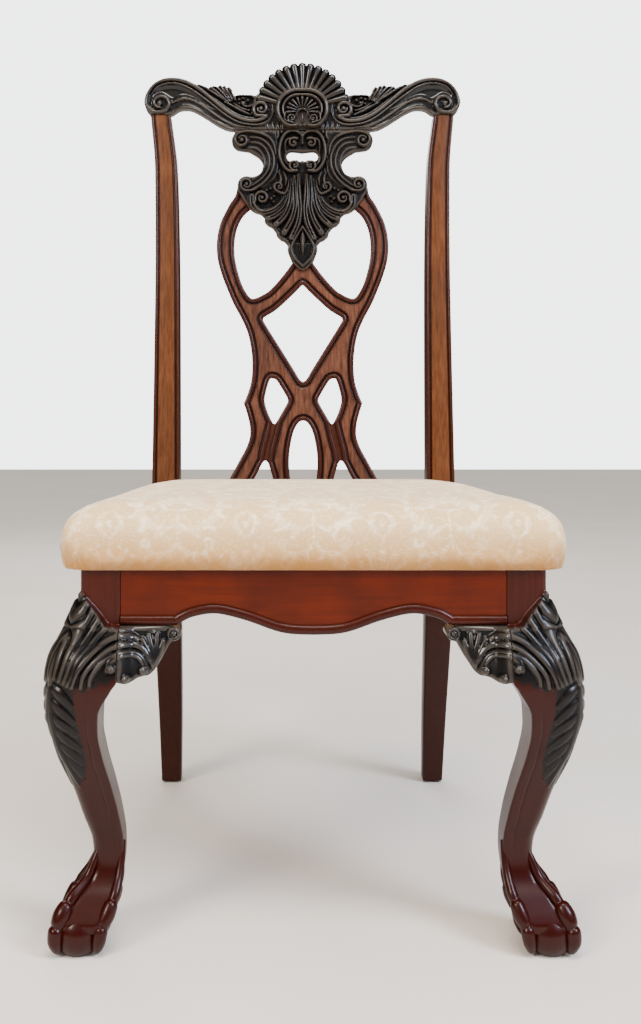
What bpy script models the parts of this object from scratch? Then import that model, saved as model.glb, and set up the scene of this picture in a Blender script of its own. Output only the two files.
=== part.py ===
"""Carved dining side chair: cabriole front legs, pierced splat, scrolled crest, upholstered seat.

Metres, +Z up, the front faces -Y. The origin is on the floor under the middle of the chair.
"""

import math

import bmesh
import bpy
from mathutils import Matrix, Vector

# Fits
FIT = 0.0003
OVERLAP = 0.004

# Seat frame
OVERALL_DEPTH = 0.588
FRONT_WIDTH = 0.5178
RAIL_TOP = 0.418
RAIL_HEIGHT = 0.061
RAIL_THICK = 0.022
RAIL_SETBACK = 0.001
TENON_LENGTH = 0.020
TENON_THICK = 0.008
TENON_SHOULDER = 0.009

# Front legs: offsets are measured outward from the block's outer faces
LEG_BLOCK = 0.045
BLOCK_CORNER = 0.010
KNEE_OUT = 0.0367
ANKLE_HEIGHT = 0.088
KNEE_PROFILE = (
    # share of the way from ankle to block, outer offset, inner offset, outer corner radius
    (0.00, -0.0110, -0.0466, 0.014),
    (0.09, -0.0105, -0.0466, 0.014),
    (0.20, -0.0020, -0.0432, 0.014),
    (0.33, 0.0078, -0.0364, 0.014),
    (0.48, 0.0222, -0.0275, 0.016),
    (0.58, 0.0300, -0.0238, 0.019),
    (0.655, 0.0350, -0.0245, 0.023),
    (0.76, KNEE_OUT, -0.0385, 0.030),
    (0.80, 0.0360, -0.0447, 0.032),
    (0.875, 0.0320, -LEG_BLOCK, 0.032),
    (0.94, 0.0230, -LEG_BLOCK, 0.026),
    (1.00, 0.0020, -LEG_BLOCK, 0.014),
)
FOOT_PROFILE = (
    # height, outer offset, inner offset
    (0.031, 0.0240, -0.0285),
    (0.042, 0.0175, -0.0340),
    (0.052, 0.0096, -0.0380),
    (0.060, 0.0037, -0.0410),
    (0.072, -0.0054, -0.0440),
)
FOOT_CORNER = 0.012
BALL_RADIUS = 0.0285
BALL_OFFSET = 0.0007
TALON_RADIUS = 0.0085
FOOT_MIDDLE = -0.006
TALON_RISE = 0.012
CORNER_TALON = (
    # out and ahead of the block's corner, height, swell
    (-0.0146, -0.0142, 0.0926, 0.47),
    (-0.0074, -0.0071, 0.0752, 0.58),
    (0.0066, 0.0068, 0.0588, 0.74),
    (0.0165, 0.0165, 0.0435, 1.20),
    (0.0210, 0.0210, 0.0315, 0.90),
    (0.0230, 0.0230, 0.020, 1.02),
    (0.0200, 0.0200, 0.006, 0.50),
)
INNER_TALON = (
    (-0.0445, -0.0150, 0.094, 0.46),
    (-0.0426, -0.0070, 0.076, 0.56),
    (-0.0388, 0.0050, 0.0585, 0.68),
    (-0.0325, 0.0135, 0.0435, 1.04),
    (-0.0276, 0.0188, 0.0315, 0.80),
    (-0.0246, 0.0214, 0.020, 0.92),
    (-0.0210, 0.0194, 0.006, 0.48),
)
BACK_TALON = (
    (-0.0402, -0.0402, 0.082, 0.52),
    (-0.0387, -0.0387, 0.066, 0.68),
    (-0.0366, -0.0366, 0.055, 0.72),
    (-0.0330, -0.0330, 0.0435, 1.04),
    (-0.0280, -0.0280, 0.0315, 0.82),
    (-0.0250, -0.0250, 0.020, 0.92),
    (-0.0210, -0.0210, 0.006, 0.48),
)
GLIDE_RADIUS = 0.010
GLIDE_THICK = 0.003
GLIDE_EDGE = 0.0008
BALL_BOTTOM_FLAT = 0.0025

# Knee brackets
BRACKET_LENGTH = 0.0665
BRACKET_BACK = -0.024
BRACKET_SHAPE = (
    # share of the length from the leg, drop of the lower edge, bulge of the lower edge, bulge of the top
    (0.00, 0.0580, 0.0330, 0.0040),
    (0.25, 0.0560, 0.0260, 0.0030),
    (0.50, 0.0500, 0.0170, 0.0020),
    (0.75, 0.0330, 0.0080, 0.0010),
    (1.00, 0.0180, 0.0030, 0.0000),
)
BRACKET_SCROLL_RADIUS = 0.0075
BRACKET_SCROLL_PROUD = 0.006
BRACKET_SCROLL_DROP = 0.0012
BRACKET_SWELL = 0.7

# Front apron: the lower edge is (distance from the middle, rise above the rail's lower line)
APRON_EDGE = ((0.0, -0.0110), (0.034, -0.0085), (0.074, 0.0050), (0.108, 0.0126), (0.136, 0.0085))
APRON_FLAT_START = 0.153
BEAD_HEIGHT = 0.009
BEAD_DEPTH = 0.014
BEAD_PROUD = 0.003
BEAD_ROUND = 0.003

# Rear posts
REAR_RAKE = 0.090
POST_SEAT_CENTRE = 0.20345
POST_SEAT_WIDTH = 0.0415
POST_SEAT_DEPTH = 0.041
POST_TOP_CENTRE = 0.2175
POST_TOP_WIDTH = 0.0308
POST_PROUD = 0.004
POST_EDGE = 0.004
POST_LEG = (
    # share from floor to rail, then shares of the seat's centre and width, of the rake and of its depth
    (0.00, 0.9943, 0.7084, 1.00, 0.7805),
    (0.35, 0.9889, 0.8313, 0.60, 0.8293),
    (0.70, 0.9904, 0.9277, 0.22, 0.9024),
    (1.00, 1.0000, 1.0000, 0.00, 1.0000),
)
CREST_THICK = 0.028
POST_STILE = (
    # share from rail top to crest, then shares of the change in centre, width and depth
    (0.00, 0.000, 0.000, 0.000),
    (0.56, 0.089, 0.495, 0.385),
    (0.86, 0.359, 0.738, 0.769),
    (1.00, 1.000, 1.000, 1.000),
)
POST_LEAN_END = 0.25
POST_TENON_WIDTH = 0.013
POST_TENON_LENGTH = 0.018

# Back, in the leaning plane: (distance from the middle, height above the rail top)
BACK_LEAN = math.radians(7.0)
POST_JOINT = 0.613
SPLAT_JOINT = 0.589
SHOE_TOP = 0.034
SHOE_DEPTH = 0.034
SHOE_COVE = 0.010
SPLAT_THICK = 0.018
SPLAT_EDGE = 0.0022
HEAD_PROUD = 0.006
HEAD_INSET = 0.0016
SPLAT_TENON_HALF = 0.055
SPLAT_TENON_THICK = 0.008
SPLAT_TENON_LENGTH = 0.014
SPLAT_FOOT_HALF = 0.122
SPLAT_BAR = 0.006

CREST_TOP = ((0.0, 0.682), (0.030, 0.676), (0.052, 0.661), (0.068, 0.647), (0.092, 0.6455), (0.109, 0.649),
             (0.135, 0.654), (0.161, 0.660), (0.182, 0.669), (0.200, 0.671), (0.222, 0.666), (0.236, 0.653),
             (0.243, 0.634), (0.2405, 0.621))
CREST_UNDER = ((0.182, 0.621), (0.161, 0.617), (0.139, 0.604), (0.118, 0.592))
CREST_FLAT_END = 0.108
EAR_VOLUTE = (0.2195, 0.6325, 0.0180)
INNER_VOLUTE = (0.0640, 0.621, 0.0145)
VOLUTE_PROUD = 0.004

SHELL_CENTRE = 0.624
SHELL_RADIUS = 0.070
SHELL_SCALLOP = 0.003
SHELL_LOBES = 17
SHELL_SWEEP = math.radians(77.0)
SHELL_CHEEK = ((0.0450, 0.6290), (0.0410, 0.6080), (0.0280, 0.5930))
SHELL_THICK = 0.010
MEDALLION_SHARE = 0.56
MEDALLION_THICK = 0.014
LOBE_DEPTH = 0.003
LOBE_RINGS = (
    # share of the fan's radius, of its thickness and of the lobes' depth
    (1.00, 0.55, 0.4),
    (0.94, 0.95, 1.0),
    (0.78, 1.00, 1.0),
    (0.60, 0.70, 0.8),
)
MEDALLION_RINGS = (
    # share of the medallion's radius and of its thickness
    (1.00, 0.8),
    (0.94, 1.0),
    (0.80, 1.0),
    (0.72, 0.7),
    (0.30, 0.9),
)

SPLAT_NECK = ((0.0815, 0.5560), (0.0660, 0.5460), (0.0603, 0.5350), (0.0640, 0.5220), (0.0740, 0.5165))
TOP_VOLUTE = (0.0928, 0.573, 0.0154)
VOLUTE_SHOULDER = 0.012
LOWER_VOLUTE = (0.0854, 0.504, 0.0135)
STRAP_OUTER = ((0.0990, 0.5000), (0.1090, 0.4730), (0.1235, 0.4450), (0.1305, 0.4190), (0.1293, 0.4030),
               (0.1207, 0.3680), (0.1048, 0.3240), (0.0866, 0.2870), (0.0774, 0.2545), (0.0758, 0.2220),
               (0.0794, 0.1950), (0.0887, 0.1720))
STRAP_FOOT = ((0.0887, 0.1720), (0.0800, 0.1505), (0.0778, 0.1340), (0.0850, 0.1060), (0.0976, 0.0820),
              (0.1088, 0.0600), (SPLAT_FOOT_HALF, SHOE_TOP))
PEAR_OUTER = ((0.0700, 0.4720), (0.0860, 0.4630), (0.0970, 0.4440), (0.1027, 0.4190), (0.1028, 0.3990),
              (0.0970, 0.3720), (0.0867, 0.3470), (0.0745, 0.3300))
PEAR_INNER = ((0.0745, 0.3300), (0.0500, 0.3420), (0.0300, 0.3620), (0.0180, 0.3820))
LEAF_EDGE = ((0.0180, 0.3820), (0.0240, 0.4090), (0.0400, 0.4230), (0.0517, 0.4360), (0.0579, 0.4500),
             (0.0700, 0.4720))
KITE_UPPER = ((0.0, 0.348), (0.0260, 0.3200), (0.0594, 0.3020))
KITE_LOWER = ((0.0594, 0.3020), (0.0280, 0.2480), (0.0, 0.204))
DIAMOND = ((0.0436, 0.2090), (0.0566, 0.1755), (0.0422, 0.1420), (0.0211, 0.1755))
OVAL = ((0.0, 0.146), (0.0150, 0.1150), (0.0211, 0.0850), (0.0165, 0.0600))
OVAL_FOOT = 0.012
SIDE_GAP_OUTER = ((0.0533, 0.0860), (0.0735, 0.0600))
SIDE_GAP_INNER = ((0.0448, 0.0600), (0.0533, 0.0860))
SIDE_GAP_FOOT = (0.087, 0.040)
HANDHOLD = ((0.0, 0.557), (0.0170, 0.5560), (0.0243, 0.5500), (0.0200, 0.5420), (0.0110, 0.5390))
HANDHOLD_LOW = 0.540
HEAD_LEAF = ((0.0630, 0.4830), (0.0579, 0.4500), (0.0517, 0.4360), (0.0410, 0.4240), (0.0240, 0.4090),
             (0.0160, 0.3910))
BUD_TIP = 0.374

# Seat
CUSHION_FRONT_PROUD = 0.0157
CUSHION_REAR_GAP = 0.006
CUSHION_SIDE_PROUD = 0.0211
CUSHION_REAR_INSET = 0.0002
CUSHION_CORNER = 0.042
CORNER_TIGHTENING = 0.5
CORNER_LEAST = 0.35
CUSHION_PROFILE = (
    # inset from the widest outline, height above the rail top
    (0.0070, 0.0000),
    (0.0018, 0.0120),
    (0.0000, 0.0290),
    (0.0016, 0.0450),
    (0.0056, 0.0550),
    (0.0130, 0.0625),
    (0.0270, 0.0682),
    (0.0560, 0.0715),
    (0.0980, 0.0728),
    (0.1500, 0.0732),
)
COVER_THICK = 0.0012
HEM_WIDTH = 0.020
BOARD_THICK = 0.012
BOARD_INSET = 0.010
FOAM_EASE = 0.0006
DUST_THICK = 0.0008
DUST_EDGE = 0.004
DUST_CORNER_CUT = 0.030

# Corner blocks and screws
BLOCK_REACH = 0.052
BLOCK_SIDE_REACH = 0.075
BLOCK_HEIGHT = 0.030
BLOCK_DROP = 0.010
SCREW_OFFSET = 0.020
SEAT_SCREW_AHEAD = 0.038
SEAT_SCREW_IN = 0.016
SCREW_RADIUS = 0.0022
SCREW_HEAD_RADIUS = 0.0042
SCREW_HEAD_THICK = 0.0026
SCREW_IN_BLOCK = 0.013
SCREW_IN_RAIL = 0.015
SEAT_SCREW_IN_BLOCK = 0.022
SEAT_SCREW_IN_BOARD = 0.008

# How finely curves are divided
CURVE_STEPS = 3
CORNER_STEPS = 3
ARC_STEPS = 8
RING_SIDES = 12
ROLL_SIDES = 16
VOLUTE_SIDES = 20
TALON_SIDES = 8
BALL_SIDES = 16
BALL_RINGS = 10
LEG_STEPS = 10
STILE_STEPS = 12
KNEE_STEPS = 16
BRACKET_STEPS = 8
LOBE_STEPS = 4
KNEE_CORNER_STEPS = 4
SEAT_CORNER_STEPS = 7
SEAT_EDGE_POINTS = 6
SAME_POINT = 0.00001
LEAST_STEP = 0.0002
SHARP_ANGLE = math.radians(38)

# Places worked out from the sizes above
RAIL_BOTTOM = RAIL_TOP - RAIL_HEIGHT
BLOCK_X = FRONT_WIDTH / 2
BLOCK_Y = OVERALL_DEPTH / 2 - KNEE_OUT
LEG_INNER_X = BLOCK_X - LEG_BLOCK
LEG_BACK_Y = -(BLOCK_Y - LEG_BLOCK)
APRON_FRONT_Y = -(BLOCK_Y - RAIL_SETBACK)
APRON_BACK_Y = APRON_FRONT_Y + RAIL_THICK
REAR_FOOT_DEPTH = POST_LEG[0][-1] * POST_SEAT_DEPTH
POST_FRONT_Y = OVERALL_DEPTH / 2 - REAR_RAKE - REAR_FOOT_DEPTH
BACK_Y = POST_FRONT_Y + POST_PROUD / math.cos(BACK_LEAN)
POST_INNER_X = POST_SEAT_CENTRE - POST_SEAT_WIDTH / 2
POST_OUTER_X = POST_SEAT_CENTRE + POST_SEAT_WIDTH / 2
REAR_RAIL_FRONT_Y = POST_FRONT_Y + (POST_SEAT_DEPTH - RAIL_THICK) / 2
FOOT_BOTTOM = GLIDE_THICK + FIT
CUSHION_FRONT = BLOCK_Y + CUSHION_FRONT_PROUD
CUSHION_FRONT_HALF = BLOCK_X + CUSHION_SIDE_PROUD
CUSHION_REAR_HALF = POST_OUTER_X - CUSHION_REAR_INSET
BACK_FRAME = Matrix.Translation((0, BACK_Y, RAIL_TOP)) @ Matrix.Rotation(math.pi / 2 - BACK_LEAN, 4, "X")
UPRIGHT = Matrix.Rotation(math.pi / 2, 4, "X")

SIDES = (("left", -1), ("right", 1))


# Scene, materials and solids

def clear_scene():
    for item in list(bpy.data.objects):
        bpy.data.objects.remove(item, do_unlink=True)


def new_collection(name):
    collection = bpy.data.collections.new(name)
    bpy.context.scene.collection.children.link(collection)
    return collection


def new_material(name, colour, roughness, metallic=0.0):
    material = bpy.data.materials.new(name)
    material.use_nodes = True
    shader = material.node_tree.nodes["Principled BSDF"]
    shader.inputs["Base Color"].default_value = (*colour, 1.0)
    shader.inputs["Roughness"].default_value = roughness
    shader.inputs["Metallic"].default_value = metallic
    return material


clear_scene()
PARTS = new_collection("carved_dining_chair")
CUTTERS = new_collection("cutters")
MAHOGANY = new_material("brown_mahogany", (0.13, 0.035, 0.016), 0.32)
CARVED = new_material("dark_carved_mahogany", (0.028, 0.014, 0.010), 0.38)
APRON_WOOD = new_material("red_mahogany", (0.20, 0.045, 0.014), 0.30)
HIDDEN_WOOD = new_material("plain_hardwood", (0.42, 0.27, 0.14), 0.60)
PLYWOOD = new_material("plywood", (0.55, 0.38, 0.22), 0.70)
FOAM = new_material("cream_foam", (0.80, 0.72, 0.50), 0.95)
DAMASK = new_material("cream_damask", (0.74, 0.63, 0.46), 0.85)
CAMBRIC = new_material("black_cambric", (0.02, 0.02, 0.02), 0.95)
STEEL = new_material("zinc_plated_steel", (0.60, 0.60, 0.58), 0.35, 1.0)
NYLON = new_material("dark_nylon", (0.03, 0.025, 0.02), 0.55)


def make_part(name, mesh, material, place=None):
    mesh.name = name
    mesh.materials.clear()
    mesh.materials.append(material)
    part = bpy.data.objects.new(name, mesh)
    part.matrix_world = place or Matrix.Identity(4)
    mesh.shade_smooth()
    mesh.set_sharp_from_angle(angle=SHARP_ANGLE)
    PARTS.objects.link(part)
    return part


def make_cutter(name, mesh, place=None):
    cutter = bpy.data.objects.new(name, mesh)
    cutter.matrix_world = place or Matrix.Identity(4)
    cutter.hide_render = True
    cutter.display_type = "WIRE"
    CUTTERS.objects.link(cutter)
    return cutter


def combine(part, operation, tool):
    modifier = part.modifiers.new(tool.name, "BOOLEAN")
    modifier.operation = operation
    modifier.solver = "EXACT"
    modifier.object = tool


def finish_mesh(name, bm):
    bmesh.ops.recalc_face_normals(bm, faces=bm.faces)
    mesh = bpy.data.meshes.new(name)
    bm.to_mesh(mesh)
    bm.free()
    return mesh


def box(name, low, high):
    """Box between two opposite corners."""
    bm = bmesh.new()
    bmesh.ops.create_cube(bm, size=1.0)
    for vert in bm.verts:
        vert.co = [min(low[i], high[i]) if vert.co[i] < 0 else max(low[i], high[i]) for i in range(3)]
    return finish_mesh(name, bm)


def grown(low, high):
    """The same box with the fit added all round, for the socket that takes it."""
    return [value - FIT for value in low], [value + FIT for value in high]


def rod(name, radius, low, high, sides=RING_SIDES):
    """Cylinder along Z between two heights."""
    bm = bmesh.new()
    bmesh.ops.create_cone(bm, cap_ends=True, segments=sides, radius1=radius, radius2=radius, depth=high - low)
    bmesh.ops.translate(bm, verts=bm.verts, vec=(0, 0, (low + high) / 2))
    return finish_mesh(name, bm)


def loft(name, rings):
    """Solid through rings of equally many points, with a flat cap at each end."""
    bm = bmesh.new()
    loops = [[bm.verts.new(point) for point in ring] for ring in rings]
    for first, second in zip(loops, loops[1:]):
        for i in range(len(first)):
            bm.faces.new((first[i - 1], first[i], second[i], second[i - 1]))
    bm.faces.new(loops[0])
    bm.faces.new(loops[-1])
    return finish_mesh(name, bm)


def plate(name, outlines, thickness, edge=0.0, edge_steps=0):
    """Flat solid in XY, half its thickness each way, from an outline and any holes in it."""
    curve = bpy.data.curves.new(name, "CURVE")
    curve.dimensions = "2D"
    curve.fill_mode = "BOTH"
    curve.extrude = thickness / 2 - edge
    curve.bevel_depth = edge
    curve.bevel_resolution = edge_steps
    curve.offset = -edge
    for outline in outlines:
        spline = curve.splines.new("POLY")
        spline.points.add(len(outline) - 1)
        for point, (x, y) in zip(spline.points, outline):
            point.co = (x, y, 0, 1)
        spline.use_cyclic_u = True
    holder = bpy.data.objects.new(name, curve)
    bpy.context.scene.collection.objects.link(holder)
    mesh = bpy.data.meshes.new_from_object(holder.evaluated_get(bpy.context.evaluated_depsgraph_get()))
    bpy.data.objects.remove(holder)
    bpy.data.curves.remove(curve)
    bm = bmesh.new()
    bm.from_mesh(mesh)
    bpy.data.meshes.remove(mesh)
    bmesh.ops.remove_doubles(bm, verts=bm.verts, dist=SAME_POINT)
    top = max(vert.co.z for vert in bm.verts)
    caps = [face for face in bm.faces if all(abs(abs(vert.co.z) - top) < SAME_POINT for vert in face.verts)]
    shared = [edge for edge in bm.edges if len(edge.link_faces) == 2]
    inside = [edge for edge in shared if all(face in caps for face in edge.link_faces)]
    bmesh.ops.beautify_fill(bm, faces=caps, edges=inside)
    return finish_mesh(name, bm)


def turned(name, profile, material, place, sides=RING_SIDES):
    """Part turned about Z from a profile that runs down its outer side."""
    mesh = bpy.data.meshes.new(name)
    links = [(i, i + 1) for i in range(len(profile) - 1)]
    mesh.from_pydata([(radius, 0, z) for radius, z in profile], links, [])
    part = bpy.data.objects.new(name, mesh)
    part.matrix_world = place
    mesh.materials.append(material)
    modifier = part.modifiers.new("turn", "SCREW")
    modifier.axis = "Z"
    modifier.steps = sides
    modifier.render_steps = sides
    modifier.use_merge_vertices = True
    modifier.merge_threshold = SAME_POINT
    PARTS.objects.link(part)
    return part


# Curves and sections

def smooth_value(places, values, at):
    """Value at a place along a table, on a cubic that never overshoots the table."""
    last = len(places) - 1
    gaps = [places[i + 1] - places[i] for i in range(last)]
    slopes = [(values[i + 1] - values[i]) / gaps[i] for i in range(last)]
    tangents = [slopes[0]]
    for i in range(1, last):
        same_way = slopes[i - 1] * slopes[i] > 0
        tangents.append(2 / (1 / slopes[i - 1] + 1 / slopes[i]) if same_way else 0.0)
    tangents.append(slopes[-1])
    i = max(0, min(last - 1, sum(1 for place in places[1:] if place <= at)))
    t = (at - places[i]) / gaps[i]
    rise = values[i] * (1 + 2 * t) * (1 - t) ** 2 + values[i + 1] * (3 - 2 * t) * t ** 2
    return rise + gaps[i] * (tangents[i] * t * (1 - t) ** 2 - tangents[i + 1] * (1 - t) * t ** 2)


def table_row(table, at):
    """Every column of a table at a place given in its first column."""
    columns = list(zip(*table))
    return [smooth_value(columns[0], column, at) for column in columns[1:]]


def run(points, steps=CURVE_STEPS):
    """Smooth run through points; its two ends are corners."""
    padded = [points[0], *points, points[-1]]
    path = [points[0]]
    for a, b, c, d in zip(padded, padded[1:], padded[2:], padded[3:]):
        for step in range(1, steps + 1):
            t = step / steps
            path.append(tuple(
                0.5 * (2 * b[k] + (c[k] - a[k]) * t + (2 * a[k] - 5 * b[k] + 4 * c[k] - d[k]) * t ** 2
                       + (3 * b[k] - a[k] - 3 * c[k] + d[k]) * t ** 3)
                for k in range(2)))
    return path


def arc(circle, start, end, steps=ARC_STEPS):
    """Points round a circle (x, y, radius) between two angles in degrees."""
    x, y, radius = circle
    angles = [math.radians(start + (end - start) * i / steps) for i in range(steps + 1)]
    return [(x + radius * math.cos(angle), y + radius * math.sin(angle)) for angle in angles]


def joined(*runs):
    """One outline from runs that follow each other, without repeated points."""
    path = []
    for points in runs:
        for point in points:
            if not path or math.dist(path[-1], point) > LEAST_STEP:
                path.append(point)
    if math.dist(path[0], path[-1]) < LEAST_STEP:
        path.pop()
    return path


def mirrored(half):
    """Closed outline from its right half, which starts and ends on the middle line."""
    return joined(half, [(-x, y) for x, y in reversed(half)])


def flipped(outline):
    """The same points on the other side of the middle."""
    return [(-x, y) for x, y in outline]


def along_slope(outline):
    """Heights turned into distances along the leaning back."""
    return [(x, y / math.cos(BACK_LEAN)) for x, y in outline]


def rounded_quad(corners, radii, steps=CORNER_STEPS):
    """Four-sided ring with rounded corners, as many points at each corner."""
    ring = []
    for i in range(4):
        before, corner, after = (corners[(i + k) % 4] for k in (-1, 0, 1))
        first = [(before[k] - corner[k]) / math.dist(before, corner) for k in range(2)]
        second = [(after[k] - corner[k]) / math.dist(after, corner) for k in range(2)]
        spread = math.acos(sum(first[k] * second[k] for k in range(2)))
        reach = radii[i] / math.tan(spread / 2)
        start = [corner[k] + first[k] * reach for k in range(2)]
        end = [corner[k] + second[k] * reach for k in range(2)]
        for step in range(steps):
            t = step / (steps - 1)
            ring.append(tuple(start[k] * (1 - t) ** 2 + 2 * corner[k] * t * (1 - t) + end[k] * t ** 2
                              for k in range(2)))
    return ring


# Rear posts

def post_ring(side, centre, width, front, depth, height, tilt):
    corners = ((centre - width / 2, front), (centre + width / 2, front),
               (centre + width / 2, front + depth), (centre - width / 2, front + depth))
    ring = rounded_quad(corners, [POST_EDGE] * 4)
    return [(side * x, y, height - tilt * (y - front)) for x, y in ring]


def post_rings(side, leg_steps=LEG_STEPS, stile_steps=STILE_STEPS):
    rings = []
    lean = math.tan(BACK_LEAN)
    for step in range(leg_steps + 1):
        share = step / leg_steps
        centre, width, rake, depth = table_row(POST_LEG, share)
        centre, width, depth = centre * POST_SEAT_CENTRE, width * POST_SEAT_WIDTH, depth * POST_SEAT_DEPTH
        height = FOOT_BOTTOM + share * (RAIL_BOTTOM - FOOT_BOTTOM)
        rings.append(post_ring(side, centre, width, POST_FRONT_Y + rake * REAR_RAKE, depth, height, 0))
    for step in range(stile_steps + 1):
        share = step / stile_steps
        centre, width, depth = table_row(POST_STILE, share)
        centre = POST_SEAT_CENTRE + centre * (POST_TOP_CENTRE - POST_SEAT_CENTRE)
        width = POST_SEAT_WIDTH + width * (POST_TOP_WIDTH - POST_SEAT_WIDTH)
        depth = POST_SEAT_DEPTH + depth * (CREST_THICK - POST_SEAT_DEPTH)
        rise = share * POST_JOINT
        tilt = lean * min(1.0, share / POST_LEAN_END)
        front = POST_FRONT_Y + rise * lean
        rings.append(post_ring(side, centre, width, front, depth, RAIL_TOP + rise, tilt))
    return rings


def post_tenon_corners(side):
    slope = POST_JOINT / math.cos(BACK_LEAN)
    middle = POST_PROUD - CREST_THICK / 2
    centre = side * POST_TOP_CENTRE
    low = (centre - POST_TENON_WIDTH / 2, slope - OVERLAP, middle - TENON_THICK / 2)
    high = (centre + POST_TENON_WIDTH / 2, slope + POST_TENON_LENGTH, middle + TENON_THICK / 2)
    return low, high


def rear_post(name, side):
    part = make_part(f"{name}_rear_post", loft("post", post_rings(side)), MAHOGANY)
    tenon = box("tenon", *post_tenon_corners(side))
    combine(part, "UNION", make_cutter(f"{name}_post_tenon", tenon, BACK_FRAME))
    for corners, label in ((side_tenon_corners(side, True), "side"), (rear_tenon_corners(side), "rear")):
        socket = box("socket", *grown(*corners))
        combine(part, "DIFFERENCE", make_cutter(f"{name}_post_{label}_mortise", socket))
    return part


# Crest rail and shell

def crest_half():
    post_inner = POST_TOP_CENTRE - POST_TOP_WIDTH / 2
    post_outer = POST_TOP_CENTRE + POST_TOP_WIDTH / 2
    foot = [(post_outer, POST_JOINT + FIT), (post_inner, POST_JOINT + FIT)]
    under = [*CREST_UNDER, (CREST_FLAT_END, SPLAT_JOINT + FIT)]
    return joined(run([*CREST_TOP, foot[0]]), run([foot[1], *under]), [(0.0, SPLAT_JOINT + FIT)])


def crest_rail():
    outline = along_slope(mirrored(crest_half()))
    place = BACK_FRAME @ Matrix.Translation((0, 0, POST_PROUD - CREST_THICK / 2))
    part = make_part("crest_rail", plate("crest", [outline], CREST_THICK), CARVED, place)
    for name, side in SIDES:
        for label, (x, height, radius) in (("ear", EAR_VOLUTE), ("inner", INNER_VOLUTE)):
            boss = rod("boss", radius, -OVERLAP, VOLUTE_PROUD, VOLUTE_SIDES)
            centre = (side * x, height / math.cos(BACK_LEAN), POST_PROUD)
            tool = make_cutter(f"{name}_{label}_volute", boss, BACK_FRAME @ Matrix.Translation(centre))
            combine(part, "UNION", tool)
        socket = box("socket", *grown(*post_tenon_corners(side)))
        combine(part, "DIFFERENCE", make_cutter(f"{name}_crest_mortise", socket, BACK_FRAME))
    socket = box("socket", *grown(*splat_tenon_corners()))
    combine(part, "DIFFERENCE", make_cutter("crest_splat_mortise", socket, BACK_FRAME))
    return part


def shell_ring(share, level, lobe_depth):
    """Ring of the fan at a share of its radius; the lobes are scalloped in outline and in height."""
    points = []
    steps = SHELL_LOBES * LOBE_STEPS
    for i in range(steps + 1):
        angle = -SHELL_SWEEP + 2 * SHELL_SWEEP * i / steps
        lobe = abs(math.sin(math.pi * SHELL_LOBES * i / steps))
        radius = (SHELL_RADIUS + SHELL_SCALLOP * lobe) * share
        points.append((radius * math.sin(angle), SHELL_CENTRE + radius * math.cos(angle),
                       level - lobe_depth * (1 - lobe)))
    cheeks = [*SHELL_CHEEK, *flipped(reversed(SHELL_CHEEK))]
    for x, height in cheeks:
        points.append((x * share, SHELL_CENTRE + (height - SHELL_CENTRE) * share, level - lobe_depth))
    return [(x, y / math.cos(BACK_LEAN), z) for x, y, z in points]


def crest_shell():
    base = POST_PROUD + FIT
    rings = [shell_ring(1.0, base, 0.0)]
    for share, level, depth in LOBE_RINGS:
        rings.append(shell_ring(share, base + level * SHELL_THICK, depth * LOBE_DEPTH))
    for share, level in MEDALLION_RINGS:
        rings.append(shell_ring(share * MEDALLION_SHARE, base + level * MEDALLION_THICK, 0.0))
    return make_part("crest_shell", loft("shell", rings), CARVED, BACK_FRAME)


# Splat and shoe

def splat_half():
    corner = (TOP_VOLUTE[0] + VOLUTE_SHOULDER, SPLAT_JOINT)
    return joined([(0.0, SPLAT_JOINT), corner], arc(TOP_VOLUTE, 45, -75), run(SPLAT_NECK),
                  arc(LOWER_VOLUTE, 115, 0), run(STRAP_OUTER), run(STRAP_FOOT), [(0.0, SHOE_TOP)])


def splat_holes():
    bar = SHOE_TOP + SPLAT_BAR
    pear = joined(run(PEAR_OUTER), run(PEAR_INNER), run(LEAF_EDGE))
    outer = run([*SIDE_GAP_OUTER, (SIDE_GAP_FOOT[0], bar)])
    gap = joined(outer, run([(SIDE_GAP_FOOT[1], bar), *SIDE_GAP_INNER]))
    kite = mirrored(joined(run(KITE_UPPER), run(KITE_LOWER)))
    oval = mirrored(joined(run([*OVAL, (OVAL_FOOT, bar)]), [(0.0, bar)]))
    hand = mirrored(joined(run(HANDHOLD), [(0.0, HANDHOLD_LOW)]))
    diamond = list(DIAMOND)
    paired = [pear, gap, diamond]
    return [kite, oval, hand, *paired, *[flipped(outline) for outline in paired]]


def turning(outline):
    """Twice the enclosed area: positive where the outline runs anticlockwise."""
    return sum(a[0] * b[1] - b[0] * a[1] for a, b in zip(outline, outline[1:] + outline[:1]))


def wound(outline, anticlockwise):
    return outline if (turning(outline) > 0) == anticlockwise else outline[::-1]


def head_half():
    """Carved head, a little inside the splat's own outline."""
    x, y, radius = TOP_VOLUTE
    top = (x, y, radius - HEAD_INSET)
    x, y, radius = LOWER_VOLUTE
    low = (x, y, radius - HEAD_INSET)
    neck = [(x - HEAD_INSET, y) for x, y in SPLAT_NECK]
    leaf = [(x - HEAD_INSET, y + HEAD_INSET) for x, y in HEAD_LEAF]
    start = SPLAT_JOINT - HEAD_INSET
    return joined([(0.0, start), (x, start)], arc(top, 60, -75), run(neck), arc(low, 115, -110),
                  run([*leaf, (0.0, BUD_TIP)]))


def splat_tenon_corners():
    slope = SPLAT_JOINT / math.cos(BACK_LEAN)
    middle = -SPLAT_THICK / 2
    low = (-SPLAT_TENON_HALF, slope - OVERLAP, middle - SPLAT_TENON_THICK / 2)
    high = (SPLAT_TENON_HALF, slope + SPLAT_TENON_LENGTH, middle + SPLAT_TENON_THICK / 2)
    return low, high


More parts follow.
